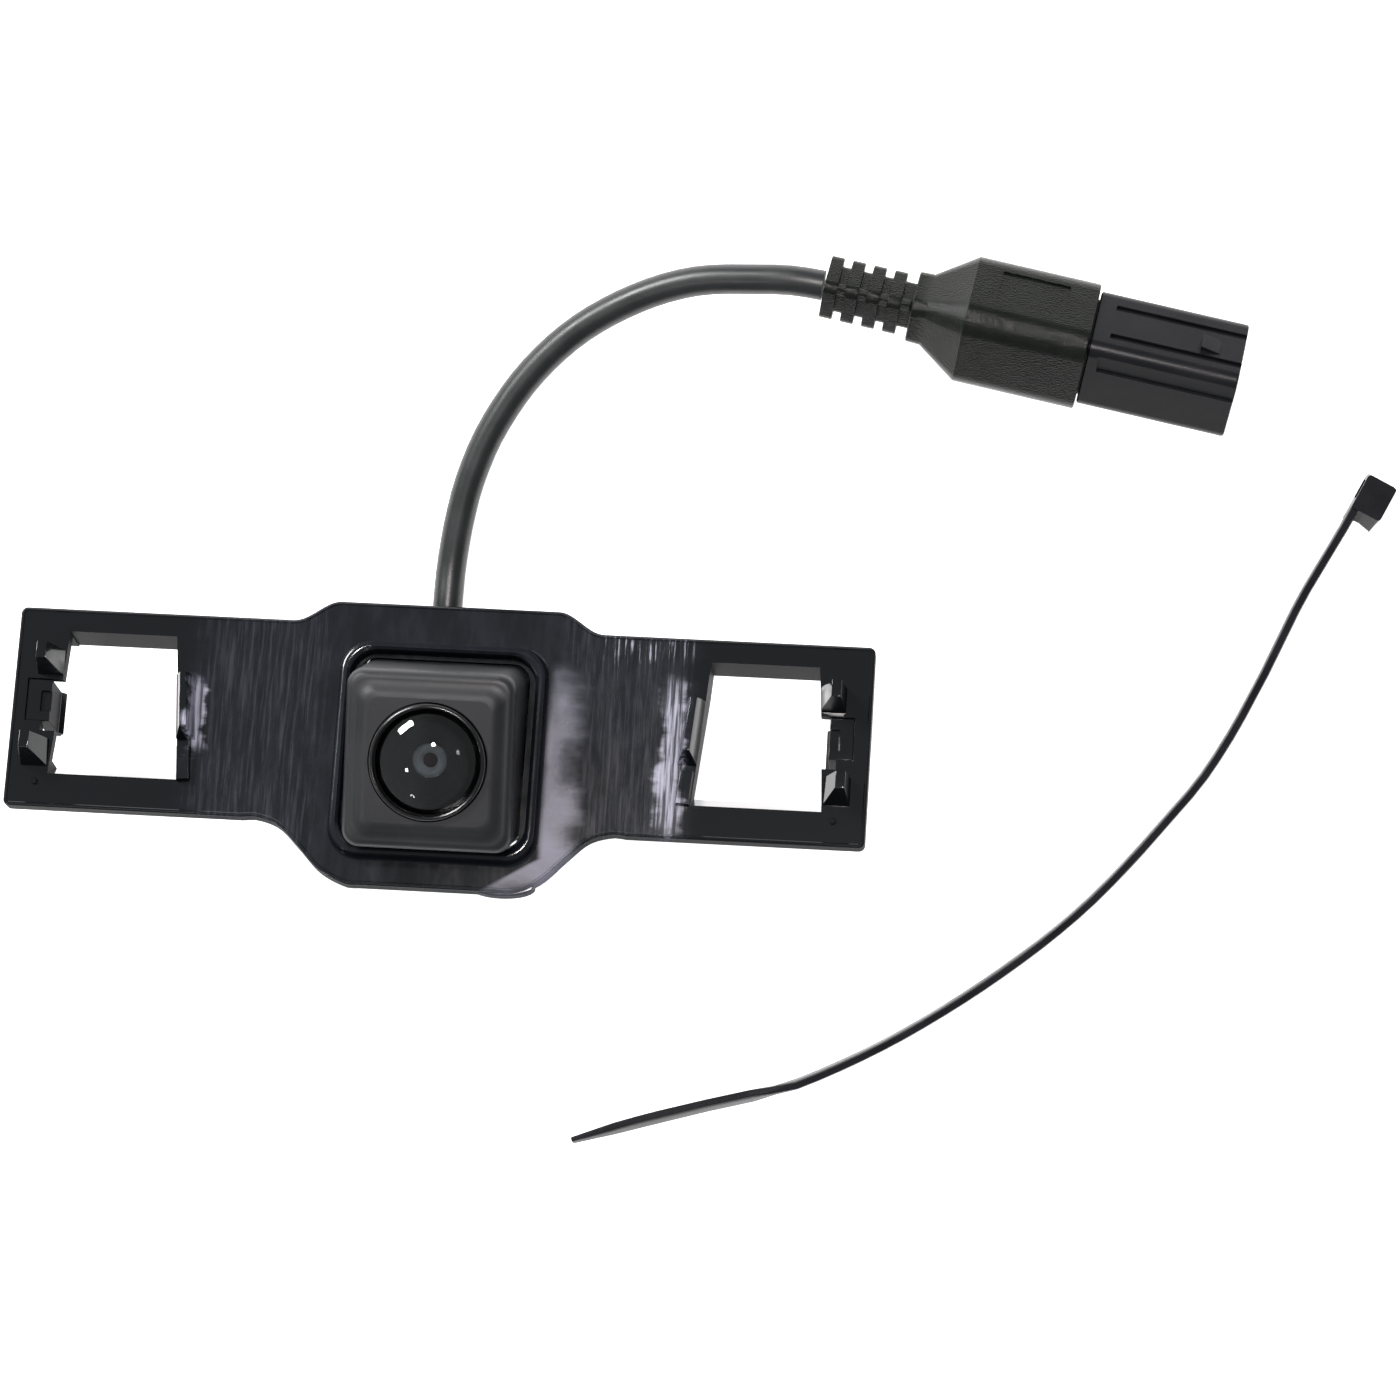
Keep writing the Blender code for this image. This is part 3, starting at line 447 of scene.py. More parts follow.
# a flat outline between two heights, with rounded rims
def flatBody(name, outline, low, high, soft=0.0):
    curve = bpy.data.curves.new(name, "CURVE")
    curve.dimensions = "2D"
    curve.fill_mode = "BOTH"
    curve.extrude = ((high - low) / 2 - soft) * mm
    curve.bevel_depth = soft * mm
    curve.bevel_resolution = 2
    curve.offset = -soft * mm
    spline = curve.splines.new("POLY")
    spline.points.add(len(outline) - 1)
    for point, (x, y) in zip(spline.points, outline):
        point.co = (x * mm, y * mm, 0, 1)
    spline.use_cyclic_u = True
    body = bpy.data.objects.new(name, curve)
    bpy.context.scene.collection.objects.link(body)
    alone(body)
    bpy.ops.object.convert(target="MESH")
    body = bpy.context.object
    body.location = (0, 0, (low + high) / 2 * mm)
    applyPlace(body)
    mergeDoubles(body)
    return body


def mergeDoubles(body):
    startEdit(body)
    bpy.ops.mesh.select_all(action="SELECT")
    bpy.ops.mesh.remove_doubles(threshold=0.002 * mm)
    endEdit()


def joinBody(body, tool, operation="UNION"):
    modifier = body.modifiers.new("join", "BOOLEAN")
    modifier.operation = operation
    modifier.object = tool
    modifier.solver = "MANIFOLD"
    alone(body)
    bpy.ops.object.modifier_apply(modifier="join")
    bpy.data.objects.remove(tool, do_unlink=True)


def softenEdges(body, width, segments=2, limit=35.0):
    modifier = body.modifiers.new("soften", "BEVEL")
    modifier.width = width * mm
    modifier.segments = segments
    modifier.limit_method = "ANGLE"
    modifier.angle_limit = math.radians(limit)
    alone(body)
    bpy.ops.object.modifier_apply(modifier="soften")


# a merged copy of a CAD node, with its flat faces made whole and its edges eased
def refined(name, node, width):
    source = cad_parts[node]
    body = bpy.data.objects.new(name, source.data.copy())
    bpy.context.scene.collection.objects.link(body)
    body.data.transform(source.matrix_world)
    startEdit(body)
    bpy.ops.mesh.select_all(action="SELECT")
    bpy.ops.mesh.remove_doubles(threshold=0.001 * mm)
    bpy.ops.mesh.dissolve_limited(angle_limit=math.radians(1.0))
    bpy.ops.object.mode_set(mode="OBJECT")
    if width:
        softenEdges(body, width)
    return body


def dress(body, finish, slot, onBody, *nodes, smooth=35.0, flatFaces=True):
    body.data.materials.clear()
    body.data.materials.append(finishes[finish])
    alone(body)
    bpy.ops.object.shade_smooth_by_angle(angle=math.radians(smooth))
    if flatFaces:
        weighted = body.modifiers.new("weighted", "WEIGHTED_NORMAL")
        weighted.keep_sharp = True
        bpy.ops.object.modifier_apply(modifier="weighted")
    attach(body, onBody)
    if nodes:
        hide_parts(*nodes)
    return body


# evenly spaced points on a smooth curve through given ones
def throughSmooth(points, spacing):
    ends = [2 * points[0] - points[1]] + points + [2 * points[-1] - points[-2]]
    dense = []
    for i in range(1, len(ends) - 2):
        before, a, b, after = ends[i - 1:i + 3]
        for step in range(24):
            t = step / 24
            dense.append(0.5 * (
                2 * a + (b - before) * t
                + (2 * before - 5 * a + 4 * b - after) * t ** 2
                + (3 * a - before - 3 * b + after) * t ** 3
            ))
    dense.append(points[-1])
    travelled = [0.0]
    for first, second in zip(dense, dense[1:]):
        travelled.append(travelled[-1] + (second - first).length)
    count = max(2, round(travelled[-1] / spacing))
    result = []
    at = 0
    for step in range(count + 1):
        wanted = travelled[-1] * step / count
        while at < len(dense) - 2 and travelled[at + 1] < wanted:
            at += 1
        share = (wanted - travelled[at]) / max(1e-9, travelled[at + 1] - travelled[at])
        result.append(dense[at].lerp(dense[at + 1], share))
    return result


plug = {
    "start": (48.95, 64.9, 8.55),
    "heading": -10.5,
    "ribHalf": 3.35,
    "coreHalf": 2.45,
    "ribPitch": 2.9,
    "ribLength": 1.8,
    "ribCount": 4,
    "bodyStart": 12.0,
    "bodyEnd": 35.9,
    "bodyHalf": 6.6,
    "widen": 1.06,
    "socketEnd": 56.4,
    "socketHalf": 5.9,
    "socketFloor": 42.0,
    "mouthHalf": 4.9,
    "gap": 0.3,
    "linkPlace": 2.35,
    "linkHalf": 0.6,
    "labelFrom": 22.9,
    "labelTo": 32.1,
    "grooveHalf": 0.45,
}
plugFrame = (
    Matrix.Translation(Vector(plug["start"]) * mm)
    @ Matrix.Rotation(math.radians(plug["heading"]), 4, "Z")
    @ Matrix.Rotation(math.radians(90), 4, "Y")
    @ Matrix.Rotation(math.radians(-45), 4, "Z")
)


def makeBoot():
    steps = []
    rib, core = plug["ribHalf"], plug["coreHalf"]
    for number in range(plug["ribCount"]):
        start = number * plug["ribPitch"]
        steps += [(start, rib, rib), (start + plug["ribLength"], rib, rib),
                  (start + plug["ribLength"] + 0.01, core, core),
                  (start + plug["ribPitch"] - 0.01, core, core)]
    steps[-1] = (plug["bodyStart"] + 0.5, core, core)
    boot = squareBody("cableBoot", 1.3, steps, 4)
    softenEdges(boot, 0.16, 2, 50)
    for number in range(plug["ribCount"]):
        low = number * plug["ribPitch"] + plug["ribLength"] - 0.3
        high = low + plug["ribPitch"] - plug["ribLength"] + 0.6
        for flip in (-1, 1):
            first = flip * plug["linkPlace"] - plug["linkHalf"]
            last = flip * plug["linkPlace"] + plug["linkHalf"]
            box = (first, last, first, last)
            link = taperedBlock("bootLink", box, box, low, high, 0.2)
            joinBody(boot, link)
    moveInto(boot, plugFrame)
    return dress(boot, "overmould", "overmould_pvc", "camera_bracket", "strain_relief")


def makeOvermould():
    half = plug["bodyHalf"]
    body = squareBody("plugOvermould", 1.7, [
        (plug["bodyStart"], 3.55, 3.55), (plug["bodyStart"] + 0.15, 3.7, 3.7), (14.0, 3.75, 3.75),
        (19.4, half, half), (plug["bodyEnd"] - 0.15, half, half),
        (plug["bodyEnd"] + 0.05, half - 0.06, half - 0.06),
        (plug["bodyEnd"] + 0.12, half - 0.25, half - 0.25),
    ], 8)
    box = (-half - 1, -half + 0.22, -2.4, 3.1)
    label = taperedBlock("labelRecess", box, box, plug["labelFrom"], plug["labelTo"], 0)
    joinBody(body, label, "DIFFERENCE")
    # wider than it is tall, across its ridge
    spread = Matrix.Rotation(math.radians(45), 4, "Z")
    body.data.transform(spread @ Matrix.Diagonal((1, plug["widen"], 1, 1)) @ spread.inverted())
    moveInto(body, plugFrame)
    return dress(body, "overmould", "overmould_pvc", "camera_bracket", "plug_overmould", smooth=28)


def makeConnector():
    half, mouth = plug["socketHalf"], plug["mouthHalf"]
    start, end = plug["bodyEnd"] + plug["gap"], plug["socketEnd"]
    shell = squareBody("connectorShell", 1.5, [
        (start - 1.0, half - 0.9, half - 0.9), (start, half - 0.9, half - 0.9),
        (start + 0.01, half - 0.2, half - 0.2), (start + 0.2, half, half), (end - 0.3, half, half),
        (end - 0.08, half - 0.08, half - 0.08), (end, half - 0.3, half - 0.3),
        (end, mouth + 0.2, mouth + 0.2), (end - 0.25, mouth, mouth),
        (plug["socketFloor"], mouth, mouth),
    ])
    for place in (2.5, -2.8):
        box = (-half - 1, -half + 0.6, place - plug["grooveHalf"], place + plug["grooveHalf"])
        groove = taperedBlock("trackGroove", box, box, start + 2.4, end + 1, 0.12)
        joinBody(shell, groove, "DIFFERENCE")
    box = (-half + 1.3, -half + 4.1, -half - 1, -half + 0.35)
    band = taperedBlock("sideBand", box, box, start + 1.6, end + 1, 0.12)
    joinBody(shell, band, "DIFFERENCE")
    ramp = taperedBlock("lockRamp", (-half - 0.75, -half + 0.3, -1.7, 0.7),
                        (-half - 0.1, -half + 0.3, -1.7, 0.7), 50.6, 53.2, 0.08)
    joinBody(shell, ramp)
    moveInto(shell, plugFrame)
    return dress(shell, "connector", "connector_nylon", "camera_bracket", "connector_housing",
                 smooth=30)


boot = makeBoot()
overmould = makeOvermould()
connector = makeConnector()
print("connector modelled")

cable = {
    "radius": 2.05,
    "spacing": 2.2,
    "route": (
        (-1.0, 17.0, 3.4), (-1.0, 18.8, 3.3), (-0.95, 21.3, 2.75), (-0.75, 25.0, 2.2),
        (0.0, 30.6, 2.15), (1.35, 36.6, 2.15), (4.1, 43.6, 2.2), (8.9, 51.1, 2.4),
        (15.4, 57.5, 3.0), (23.4, 62.2, 4.2), (31.4, 64.8, 5.9), (39.7, 65.4, 7.5),
        (44.6, 65.45, 8.35), (48.65, 64.96, 8.55),
    ),
}


def makeCable():
    points = throughSmooth([Vector(point) * mm for point in cable["route"]],
                           cable["spacing"] * mm)
    curve = bpy.data.curves.new("cameraCable", "CURVE")
    curve.dimensions = "3D"
    curve.bevel_depth = cable["radius"] * mm
    curve.bevel_resolution = 8
    curve.use_fill_caps = True
    curve.resolution_u = 1
    spline = curve.splines.new("POLY")
    spline.points.add(len(points) - 1)
    for point, place in zip(spline.points, points):
        point.co = (*place, 1)
    spline.use_smooth = True
    piece = bpy.data.objects.new("cameraCable", curve)
    bpy.context.scene.collection.objects.link(piece)
    curve.materials.append(finishes["cable"])
    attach(piece, "camera_bracket")
    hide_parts("camera_cable")


makeCable()
print("cable laid")

bracketFrame = Matrix.Translation((0, 0, bracketZ * mm)) @ Matrix.Rotation(-bracketTilt, 4, "X")
bracket = {
    "halfLength": 58.0,
    "leftExtra": 0.6,
    "topY": 17.7,
    "bumpY": 20.6,
    "bottomY": -10.1,
    "lobeY": -18.6,
    "plate": 2.6,
    "wallDepth": 7.3,
    "windowTopY": 14.5,
    "windowBottomY": -5.4,
    "windowShift": -0.5,
    "innerTop": 36.4,
    "innerBottom": 34.8,
    "outerTop": 51.1,
    "outerBottom": 52.4,
    "rimHalfX": 14.3,
    "rimHalfY": 15.2,
    "rimHeight": 2.4,
    "rimCorner": 4.2,
    "openingHalfX": 11.65,
    "openingHalfY": 12.2,
    "openingCorner": 2.4,
    "endCorner": 0.9,
    "edgeRound": 0.3,
    "beadRadius": 0.2,
    "beadInset": 0.4,
    "wallThick": 1.4,
    "lugHalfX": 4.6,
    "lugHalfY": 1.5,
    "earX": 15.6,
}


# points of an S-shaped sweep between two points, without the first
def ease(start, end, steps):
    points = []
    for step in range(1, steps + 1):
        part = step / steps
        lift = (1 - math.cos(math.pi * part)) / 2
        points.append((start[0] + (end[0] - start[0]) * part,
                       start[1] + (end[1] - start[1]) * lift))
    return points


def arc(x, y, radius, start, end, steps=6):
    angles = [math.radians(start + (end - start) * step / steps) for step in range(steps + 1)]
    return [(x + radius * math.cos(a), y + radius * math.sin(a)) for a in angles]


def bracketOutline():
    b = bracket
    corner = b["endCorner"]
    lobe = [(9.5, b["lobeY"]), (11.5, b["lobeY"] + 0.1), (15.0, -16.8), (18.2, -13.6),
            (21.0, -11.0), (24.0, b["bottomY"] + 0.1), (26.0, b["bottomY"])]
    half = [tuple(point) for point in throughSmooth([Vector(point) for point in lobe], 0.8)]
    half += arc(b["halfLength"] - corner, b["bottomY"] + corner, corner, -90, 0)
    half += arc(b["halfLength"] - corner, b["topY"] - corner, corner, 0, 90)
    half.append((21.2, b["topY"]))
    half += ease((21.2, b["topY"]), (14.8, b["bumpY"]), 14)
    # the left end reaches a little further out
    return half + [(-x - (b["leftExtra"] if x > 40 else 0), y) for x, y in reversed(half)]


# the outline moved inwards
def inward(outline, amount):
    result = []
    count = len(outline)
    for i, (x, y) in enumerate(outline):
        before, after = outline[i - 1], outline[(i + 1) % count]
        a = Vector((x - before[0], y - before[1])).normalized()
        b = Vector((after[0] - x, after[1] - y)).normalized()
        normal = Vector((-(a.y + b.y), a.x + b.x)).normalized()
        result.append((x + normal.x * amount, y + normal.y * amount))
    return result


def windowOutline(side, grow=0.0):
    b = bracket
    points = [
        (b["innerBottom"] - grow, b["windowBottomY"] - grow),
        (b["outerBottom"] + grow, b["windowBottomY"] - grow),
        (b["outerTop"] + grow, b["windowTopY"] + grow),
        (b["innerTop"] - grow, b["windowTopY"] + grow),
    ]
    return points if side > 0 else [(-x, y) for x, y in reversed(points)]


def mirrored(side, box):
    x0, x1, y0, y1 = box
    return box if side > 0 else (-x1, -x0, y0, y1)


hookShapes = {
    "upperHook": ((51.2, 55.0, 8.2, 11.8), (53.1, 54.4, 9.3, 11.6), 5.5, 0.0),
    "lowerHook": ((52.3, 56.2, -4.6, -0.6), (54.3, 55.6, -3.2, -0.9), 5.5, 0.0),
    "clipPost": ((32.9, 36.0, -0.2, 9.2), (33.8, 34.7, 1.4, 8.8), 3.4, 4.7),
    "lowerPost": ((33.0, 35.0, -5.6, -0.8), (33.1, 34.8, -5.5, -0.9), 1.2, 4.7),
}


def makeBracket():
    b = bracket
    shift = Vector((b["windowShift"], 0, 0)) * mm
    body = flatBody("lampBracket", bracketOutline(), -b["plate"], 0, b["edgeRound"])
    bead = bpy.data.curves.new("edgeBead", "CURVE")
    bead.dimensions = "3D"
    bead.bevel_depth = b["beadRadius"] * mm
    bead.bevel_resolution = 3
    line = inward(bracketOutline(), b["beadInset"])
    spline = bead.splines.new("POLY")
    spline.points.add(len(line) - 1)
    for point, (x, y) in zip(spline.points, line):
        point.co = (x * mm, y * mm, -0.06 * mm, 1)
    spline.use_cyclic_u = True
    beadBody = bpy.data.objects.new("edgeBead", bead)
    bpy.context.scene.collection.objects.link(beadBody)
    alone(beadBody)
    bpy.ops.object.convert(target="MESH")
    joinBody(body, bpy.context.object)
    x, y, top = b["rimHalfX"], b["rimHalfY"], b["rimHeight"]
    rim = squareBody("rim", b["rimCorner"], [
        (-0.47, x, y), (0.03, x, y), (0.25, x - 0.22, y - 0.22), (0.7, x - 0.36, y - 0.36),
        (top - 0.5, x - 0.45, y - 0.45), (top - 0.16, x - 0.55, y - 0.55),
        (top, x - 0.85, y - 0.85), (top - 0.02, x - 1.25, y - 1.25), (top - 0.3, x - 1.6, y - 1.6),
        (top - 0.9, x - 1.75, y - 1.75), (0.2, x - 1.8, y - 1.8),
    ], 10)
    joinBody(body, rim)
    socket = squareBody("socket", 4.6, [
        (-4.0, x - 1.1, y - 1.1), (-3.8, x - 0.9, y - 0.9), (-0.5, x - 0.9, y - 0.9)])
    joinBody(body, socket)
    lugCurve = [(x * b["lugHalfX"] + 9.6, y * b["lugHalfY"] + b["lobeY"] + 1.05)
                for x, y in arc(0, 0, 1, 0, 350, 35)]
    lug = flatBody("edgeLug", lugCurve, -2.45, -0.55, b["edgeRound"])
    joinBody(body, lug)
    for side in (-1, 1):
        walls = flatBody("windowWalls", windowOutline(side, b["wallThick"]), -b["wallDepth"], -1.3, 0.2)
        moveInto(walls, Matrix.Translation(shift))
        joinBody(body, walls)
        for name, (base, tip, high, turn) in hookShapes.items():
            hook = taperedBlock(name, mirrored(side, base), mirrored(side, tip), -0.63, high, 0.09)
            middle = Vector((side * (base[0] + base[1]) / 2, (base[2] + base[3]) / 2, 0)) * mm
            moveInto(hook, Matrix.Translation(middle + shift)
                     @ Matrix.Rotation(math.radians(-side * turn), 4, "Z")
                     @ Matrix.Translation(-middle))
            joinBody(body, hook)
        slit = taperedBlock("slit", mirrored(side, (33.0, 33.15, 0.0, 8.6)),
                            mirrored(side, (33.0, 33.15, 0.0, 8.6)), -0.35, 0.5, 0)
        moveInto(slit, Matrix.Translation(shift + Vector((side * 0.1, 0, 0)) * mm)
                 @ Matrix.Rotation(math.radians(-side * 4.0), 4, "Z"))
        joinBody(body, slit, "DIFFERENCE")
        pin = roundBody("locatingPin", [(-0.53, 0.42), (0.35, 0.42), (0.5, 0.3)], 20)
        moveInto(pin, Matrix.Translation(shift + Vector((side * 54.0, -6.6, 0)) * mm))
        joinBody(body, pin)
    moveInto(body, bracketFrame)
    for side in (-1, 1):
        boss = roundBody("screwBoss", [(6.4, 2.5), (6.6, 2.7), (bracketZ - 1.2, 2.7)], 32)
        moveInto(boss, Matrix.Translation((side * b["earX"] * mm, 0, 0)))
        joinBody(body, boss)
    opening = squareBody("opening", b["openingCorner"], [
        (low, b["openingHalfX"], b["openingHalfY"]) for low in (-30.0, 50.0)])
    joinBody(body, opening, "DIFFERENCE")
    for side in (-1, 1):
        reach = 10
        window = flatBody("window", windowOutline(side), -reach, reach)
        # the lower wall of the window runs along the camera's axis, so the cutter leans
        startEdit(window)
        lean = math.tan(bracketTilt)
        choose(window, "VERT", lambda middle, item: middle.y < 0 and middle.z < 0)
        bpy.ops.transform.translate(value=(0, reach * lean * mm, 0))
        choose(window, "VERT", lambda middle, item: middle.y < 0 and middle.z > 0)
        bpy.ops.transform.translate(value=(0, -reach * lean * mm, 0))
        endEdit()
        moveInto(window, bracketFrame @ Matrix.Translation(shift))
        joinBody(body, window, "DIFFERENCE")
        cuts = (
            ((51.0, 56.25, 1.85, 7.75), -b["wallDepth"] - 1, 1),
            ((51.0, 57.6, 1.7, 7.9), -b["wallDepth"] - 1, -1.2),
            ((51.0, 54.0, 0.5, 2.0), -b["wallDepth"] - 1, 1),
            ((50.0, 55.0, -3.2, 14.3), -b["wallDepth"] - 1, -b["plate"] + 0.35),
        )
        for box, low, high in cuts:
            pocket = taperedBlock("pocket", mirrored(side, box), mirrored(side, box), low, high, 0)
            moveInto(pocket, bracketFrame @ Matrix.Translation(shift))
            joinBody(body, pocket, "DIFFERENCE")
        hole = roundBody("pilotHole", [(5.0, 0.95), (11.6, 0.95)], 24)
        moveInto(hole, Matrix.Translation((side * b["earX"] * mm, 0, 0)))
        joinBody(body, hole, "DIFFERENCE")
    dress(body, "bracket", "bracket_plastic", "camera_bracket", "lamp_bracket", smooth=32)


# fills the tongue's pocket all round but for a hair
def fitTongue(tongue, side):
    moveInto(tongue, bracketFrame.inverted())
    corners = [vertex.co / mm for vertex in tongue.data.vertices]
    low = [min(corner[axis] for corner in corners) for axis in (0, 1)]
    high = [max(corner[axis] for corner in corners) for axis in (0, 1)]
    x0, x1, y0, y1 = mirrored(side, (52.25, 56.2, 1.9, 7.7))
    stretch = Matrix.Diagonal(((x1 - x0) / (high[0] - low[0]), (y1 - y0) / (high[1] - low[1]), 1, 1))
    moveInto(tongue, bracketFrame
             @ Matrix.Translation(Vector((x0 + bracket["windowShift"], y0, 0)) * mm)
             @ stretch @ Matrix.Translation(Vector((-low[0], -low[1], 0)) * mm))


makeBracket()
for word in ("left", "right"):
    tongue = refined(word + "Tongue", word + "_snap_tongue", 0.12)
    fitTongue(tongue, -1 if word == "left" else 1)
    dress(tongue, "bracket", "bracket_plastic", word + "_tongue", word + "_snap_tongue")
print("bracket modelled")

head = {
    "low": 8.8,
    "frontZ": 27.2,
    "ringSeat": 8.0,
    "bore": 6.3,
    "domeRadius": 11.0,
    "domeEdge": 7.0,
    "pupilRadius": 0.9,
}


def makeHousing():
    front = head["frontZ"]
    profile = [Vector(point) for point in (
        (24.6, 11.40, 11.95), (25.3, 11.33, 11.88), (25.85, 11.12, 11.66), (26.2, 10.8, 11.32),
        (26.35, 10.45, 10.92), (26.38, 10.15, 10.55), (26.46, 9.85, 10.15), (26.6, 9.55, 9.8),
        (26.8, 9.25, 9.45), (26.98, 8.95, 9.15), (27.12, 8.6, 8.78), (front, 8.2, 8.35),
    )]
    steps = [(head["low"], 11.3, 11.9), (head["low"] + 0.2, 11.45, 12.0)]
    steps += [tuple(point) for point in throughSmooth(profile, 0.14)]
    body = squareBody("frontHousing", 2.3, steps, 10)
    cavity = squareBody("cavity", 2.0, [(0.0, 10.0, 11.1), (24.2, 10.0, 11.1)])
    joinBody(body, cavity, "DIFFERENCE")
    bore = roundBody("bore", [(15.0, head["bore"]), (40.0, head["bore"])], 96)
    joinBody(body, bore, "DIFFERENCE")
    seat = roundBody("seat", [(front - 1.4, head["ringSeat"]), (40.0, head["ringSeat"])], 128)
    joinBody(body, seat, "DIFFERENCE")
    dress(body, "housing", "housing_plastic", "camera_bracket", "front_housing", smooth=40)


def makeLens():
    base = head["frontZ"] - 1.1
    ring = roundBody("lensRing", [
        (base, 7.85), (base + 1.25, 7.85), (base + 1.6, 7.78), (base + 1.8, 7.6),
        (base + 1.85, 7.4), (base + 1.75, 7.25), (base + 1.5, 7.2), (base + 0.6, 7.2),
    ], 128)
    core = roundBody("ringBore", [(base - 1, 6.2), (base + 3, 6.2)], 96)
    joinBody(ring, core, "DIFFERENCE")
    dress(ring, "ring", "barrel_metal", "camera_bracket", "lens_bezel", smooth=40)

    seat = base + 0.9
    sphere, edge = head["domeRadius"], head["domeEdge"]
    widest = math.asin(edge / sphere)
    steps = [(seat, edge), (seat + 0.1, edge + 0.05)]
    for step in range(1, 22):
        angle = widest * (1 - step / 22)
        steps.append((seat + 0.1 + sphere * (math.cos(angle) - math.cos(widest)),
                      max(0.02, sphere * math.sin(angle))))
    dome = roundBody("frontDome", steps, 96)
    dress(dome, "glass", "lens_glass", "camera_bracket", "front_lens", smooth=60, flatFaces=False)

    baffle = roundBody("lensBaffle", [
        (23.6, 2.8), (23.7, 4.3), (26.45, 4.3), (26.5, 6.6), (26.85, 6.6), (26.9, 6.4),
        (26.4, 5.2), (26.35, 4.9), (25.8, 3.9), (25.75, 3.6), (25.2, 2.6), (25.15, 2.45),
        (24.8, 1.95),
    ], 96)
    hole = roundBody("baffleHole", [(20, 1.9), (30, 1.9)], 64)
    joinBody(baffle, hole, "DIFFERENCE")
    dress(baffle, "baffle", "barrel_metal", "camera_bracket", smooth=40)
    iris = roundBody("irisRing", [(24.1, 1.95), (24.2, 1.95), (24.3, 1.5), (24.55, 1.42),
                                  (24.66, 1.6), (24.7, 1.1), (24.62, 1.0), (24.5, 0.85),
                                  (24.3, 0.8)], 64)
    irisHole = roundBody("irisHole", [(20, 0.78), (30, 0.78)], 48)
    joinBody(iris, irisHole, "DIFFERENCE")
    dress(iris, "iris", "barrel_metal", "camera_bracket", smooth=40)
    pupilWide = head["pupilRadius"]
    pupilSteps = [(23.7, pupilWide)]
    for step in range(1, 9):
        angle = math.radians(90) * step / 9
        pupilSteps.append((23.8 + 0.5 * math.sin(angle), pupilWide * math.cos(angle)))
    pupil = roundBody("pupilLens", pupilSteps, 48)
    dress(pupil, "pupil", "lens_glass", "camera_bracket", smooth=60, flatFaces=False)


makeHousing()
makeLens()
print("camera head modelled")

tie = {
    "headPlace": (121.4, 38.4),
    "headTurn": 64.0,
    "tall": 5.0,
    "round": 0.45,
    "footLonger": 0.8,
}
tieHeadFrame = (Matrix.Translation(Vector((*tie["headPlace"], 0)) * mm)
                @ Matrix.Rotation(math.radians(tie["headTurn"]), 4, "Z"))


def makeTie():
    body = refined("cableTie", "cable_tie", 0)
    moveInto(body, tieHeadFrame.inverted())
    startEdit(body)
    # the head's upright edges are rounder than the rest; at one corner this draws out a thin
    # point that reaches 1.5 mm below the head's foot
    choose(body, "EDGE", lambda middle, item: 1.2 < middle.z < 3.8 and abs(
        item.verts[0].co.z - item.verts[1].co.z) > 0.8 * tie["tall"] * mm
        and (middle.x < 0.2 or middle.x > 4.2) and middle.x > -2.0)
    bpy.ops.mesh.bevel(offset=tie["round"] * mm, segments=3, affect="EDGES")
    endEdit()
    softenEdges(body, 0.12)
    startEdit(body)
    choose(body, "VERT", lambda middle, item: -2.4 < middle.x < -0.9 and middle.z < 0.3
           and middle.y < 1.0)
    bpy.ops.transform.translate(value=(-tie["footLonger"] * mm, 0, 0))
    endEdit()
    moveInto(body, tieHeadFrame)
    dress(body, "tie", "tie_nylon", "tie", "cable_tie", smooth=40)


makeTie()
pawl = refined("tiePawl", "tie_pawl", 0.08)
dress(pawl, "tie", "tie_nylon", "pawl", "tie_pawl")
print("cable tie modelled")

nodeFinishes = {
    "rear": ("rear_cover",),
    "rubber": ("housing_gasket", "lens_o_ring", "cable_gland", "connector_seal"),
    "steel": ("housing_screw_1", "housing_screw_2", "housing_screw_3", "housing_screw_4",
              "left_bracket_screw", "right_bracket_screw"),
    "barrel": ("lens_barrel", "aperture_stop"),
    "innerGlass": ("inner_lens_front", "inner_lens_rear"),
    "filter": ("infrared_filter",),
    "board": ("sensor_board", "power_board"),
    "chip": ("board_connector", "video_processor", "image_sensor", "lens_holder"),
    "brass": ("contact_pin_1", "contact_pin_2", "contact_pin_3", "contact_pin_4"),
    "connector": ("pin_carrier",),
    "redWire": ("lead_power",),
    "blackWire": ("lead_ground",),
    "yellowWire": ("lead_video",),
    "greenWire": ("lead_guide_line",),
}
for finish, names in nodeFinishes.items():
    for name in names:
        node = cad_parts[name]
        for holder in node.material_slots:
            holder.material = finishes[finish]
print("hidden parts finished")


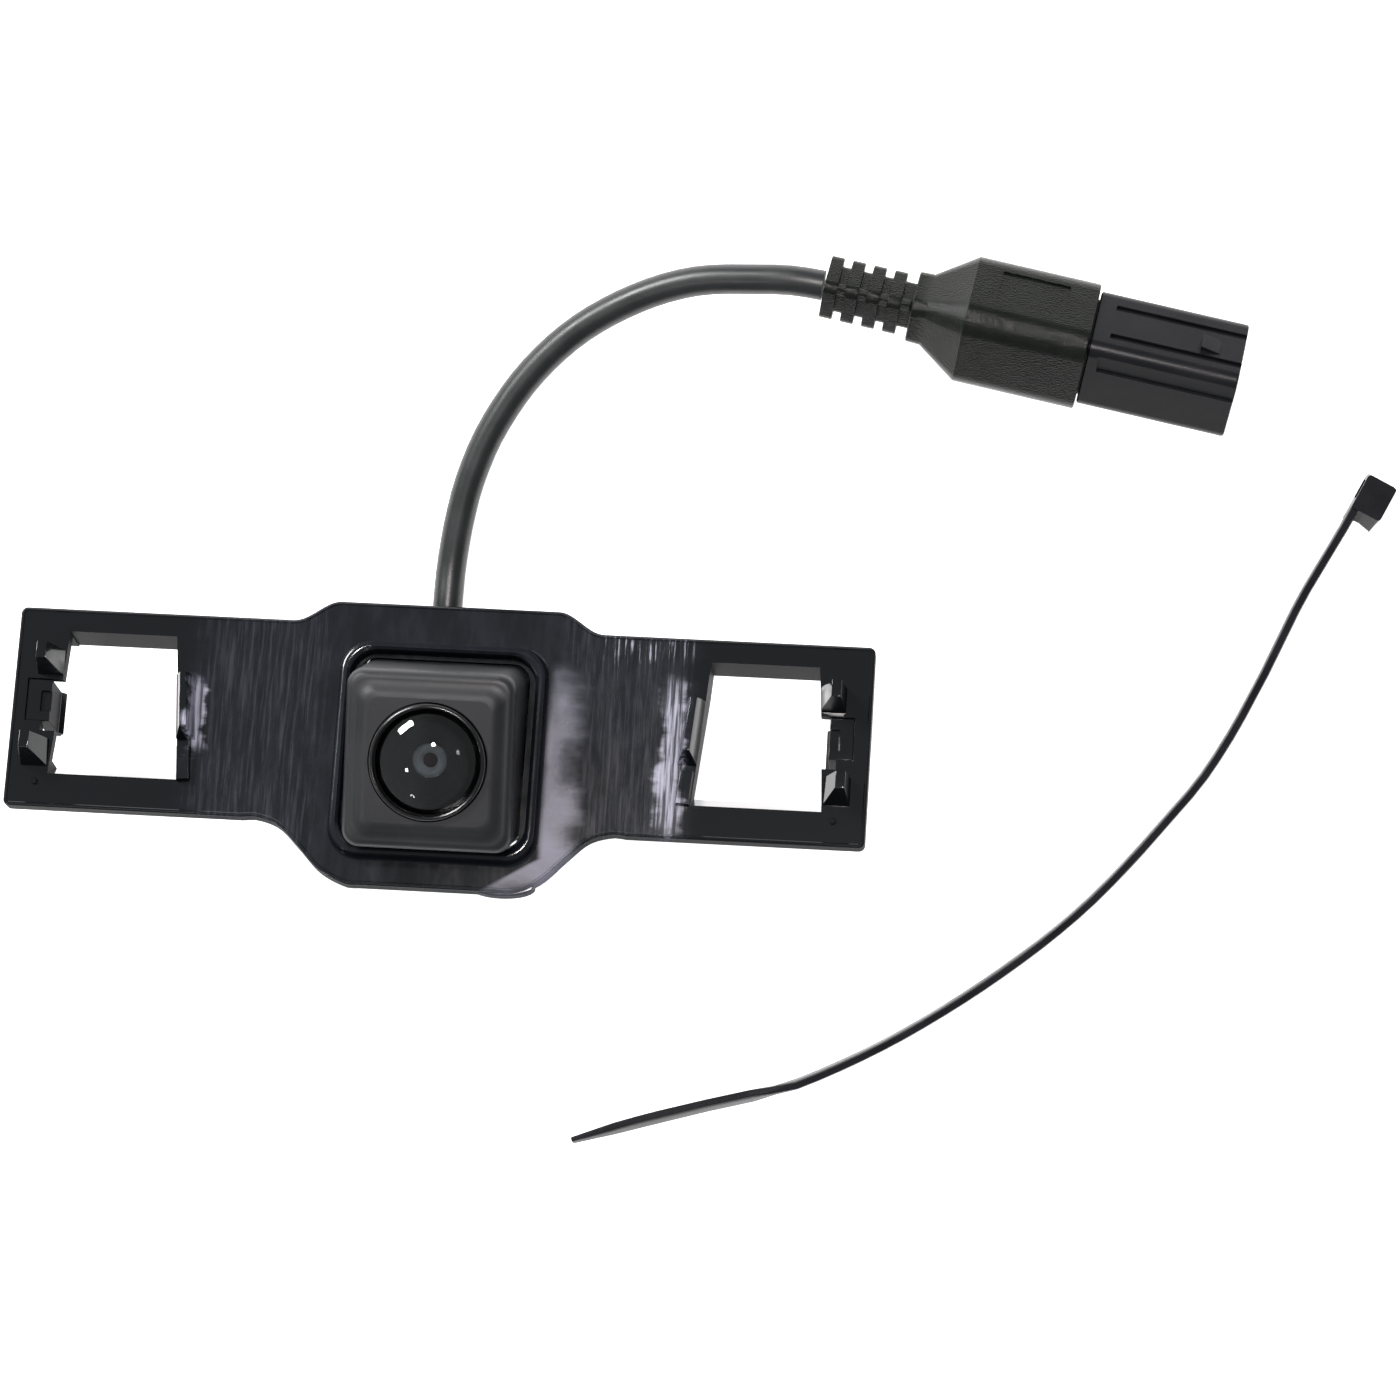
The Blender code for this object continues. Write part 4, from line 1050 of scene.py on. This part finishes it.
studio = {
    "floorSize": 6,
    "floorGlow": 1.0,
    # the room is bright on the left and falls off to the right
    "brightX": -0.45,
    "darkX": 0.10,
    "bright": 0.55,
    "dark": 0.36,
    "lampsAim": (0, 0, 0.02),
    "keyPlace": (-0.515, 0.554, 0.469),
    "keySize": (0.32, 0.14),
    "keyPower": 9.0,
    # small warm lamps: name, place and power
    "smallLamps": (("upperLamp", (0.045, 0.29, 0.75), 4.5), ("sideLamp", (-0.42, -0.20, 0.65), 0.8)),
    "smallSize": (0.06, 0.06),
    "smallColour": (1.0, 0.93, 0.92),
}


def softbox(name, place, size, power, shape="RECTANGLE", colour=(1, 1, 1)):
    light = bpy.data.lights.new(name, "AREA")
    light.shape = shape
    light.size, light.size_y = size
    light.color = colour
    light.energy = power
    lamp = bpy.data.objects.new(name, light)
    bpy.context.scene.collection.objects.link(lamp)
    lamp.location = place
    towards = Vector(studio["lampsAim"]) - Vector(place)
    lamp.rotation_euler = towards.to_track_quat("-Z", "Y").to_euler()


def makeStudio():
    bpy.ops.object.select_all(action="DESELECT")
    bpy.ops.mesh.primitive_plane_add(size=studio["floorSize"], location=(0, 0, -0.0002))
    floor = bpy.context.object
    floor.name = "studioFloor"
    applyPlace(floor)
    white = newMaterial("paleFloor", (0.9, 0.9, 0.9), 0.9)
    shaderOf(white).inputs["Emission Color"].default_value = (1, 1, 1, 1)
    shaderOf(white).inputs["Emission Strength"].default_value = studio["floorGlow"]
    floor.data.materials.append(white)
    world = bpy.data.worlds.new("studioWorld")
    world.use_nodes = True
    coordinates = addNode(world, "ShaderNodeTexCoord")
    parts = addNode(world, "ShaderNodeSeparateXYZ", None, {0: coordinates.outputs["Generated"]})
    fall = remap(world, parts.outputs[0], studio["brightX"], studio["darkX"],
                 studio["bright"], studio["dark"])
    ground = world.node_tree.nodes["Background"]
    ground.inputs[0].default_value = (0.93, 0.98, 1.0, 1)
    world.node_tree.links.new(fall, ground.inputs[1])
    bpy.context.scene.world = world
    bpy.context.scene.view_settings.view_transform = "Standard"
    softbox("keySoftbox", studio["keyPlace"], studio["keySize"], studio["keyPower"])
    for name, place, power in studio["smallLamps"]:
        softbox(name, place, studio["smallSize"], power, "DISK", studio["smallColour"])


makeStudio()

print("studio lit")
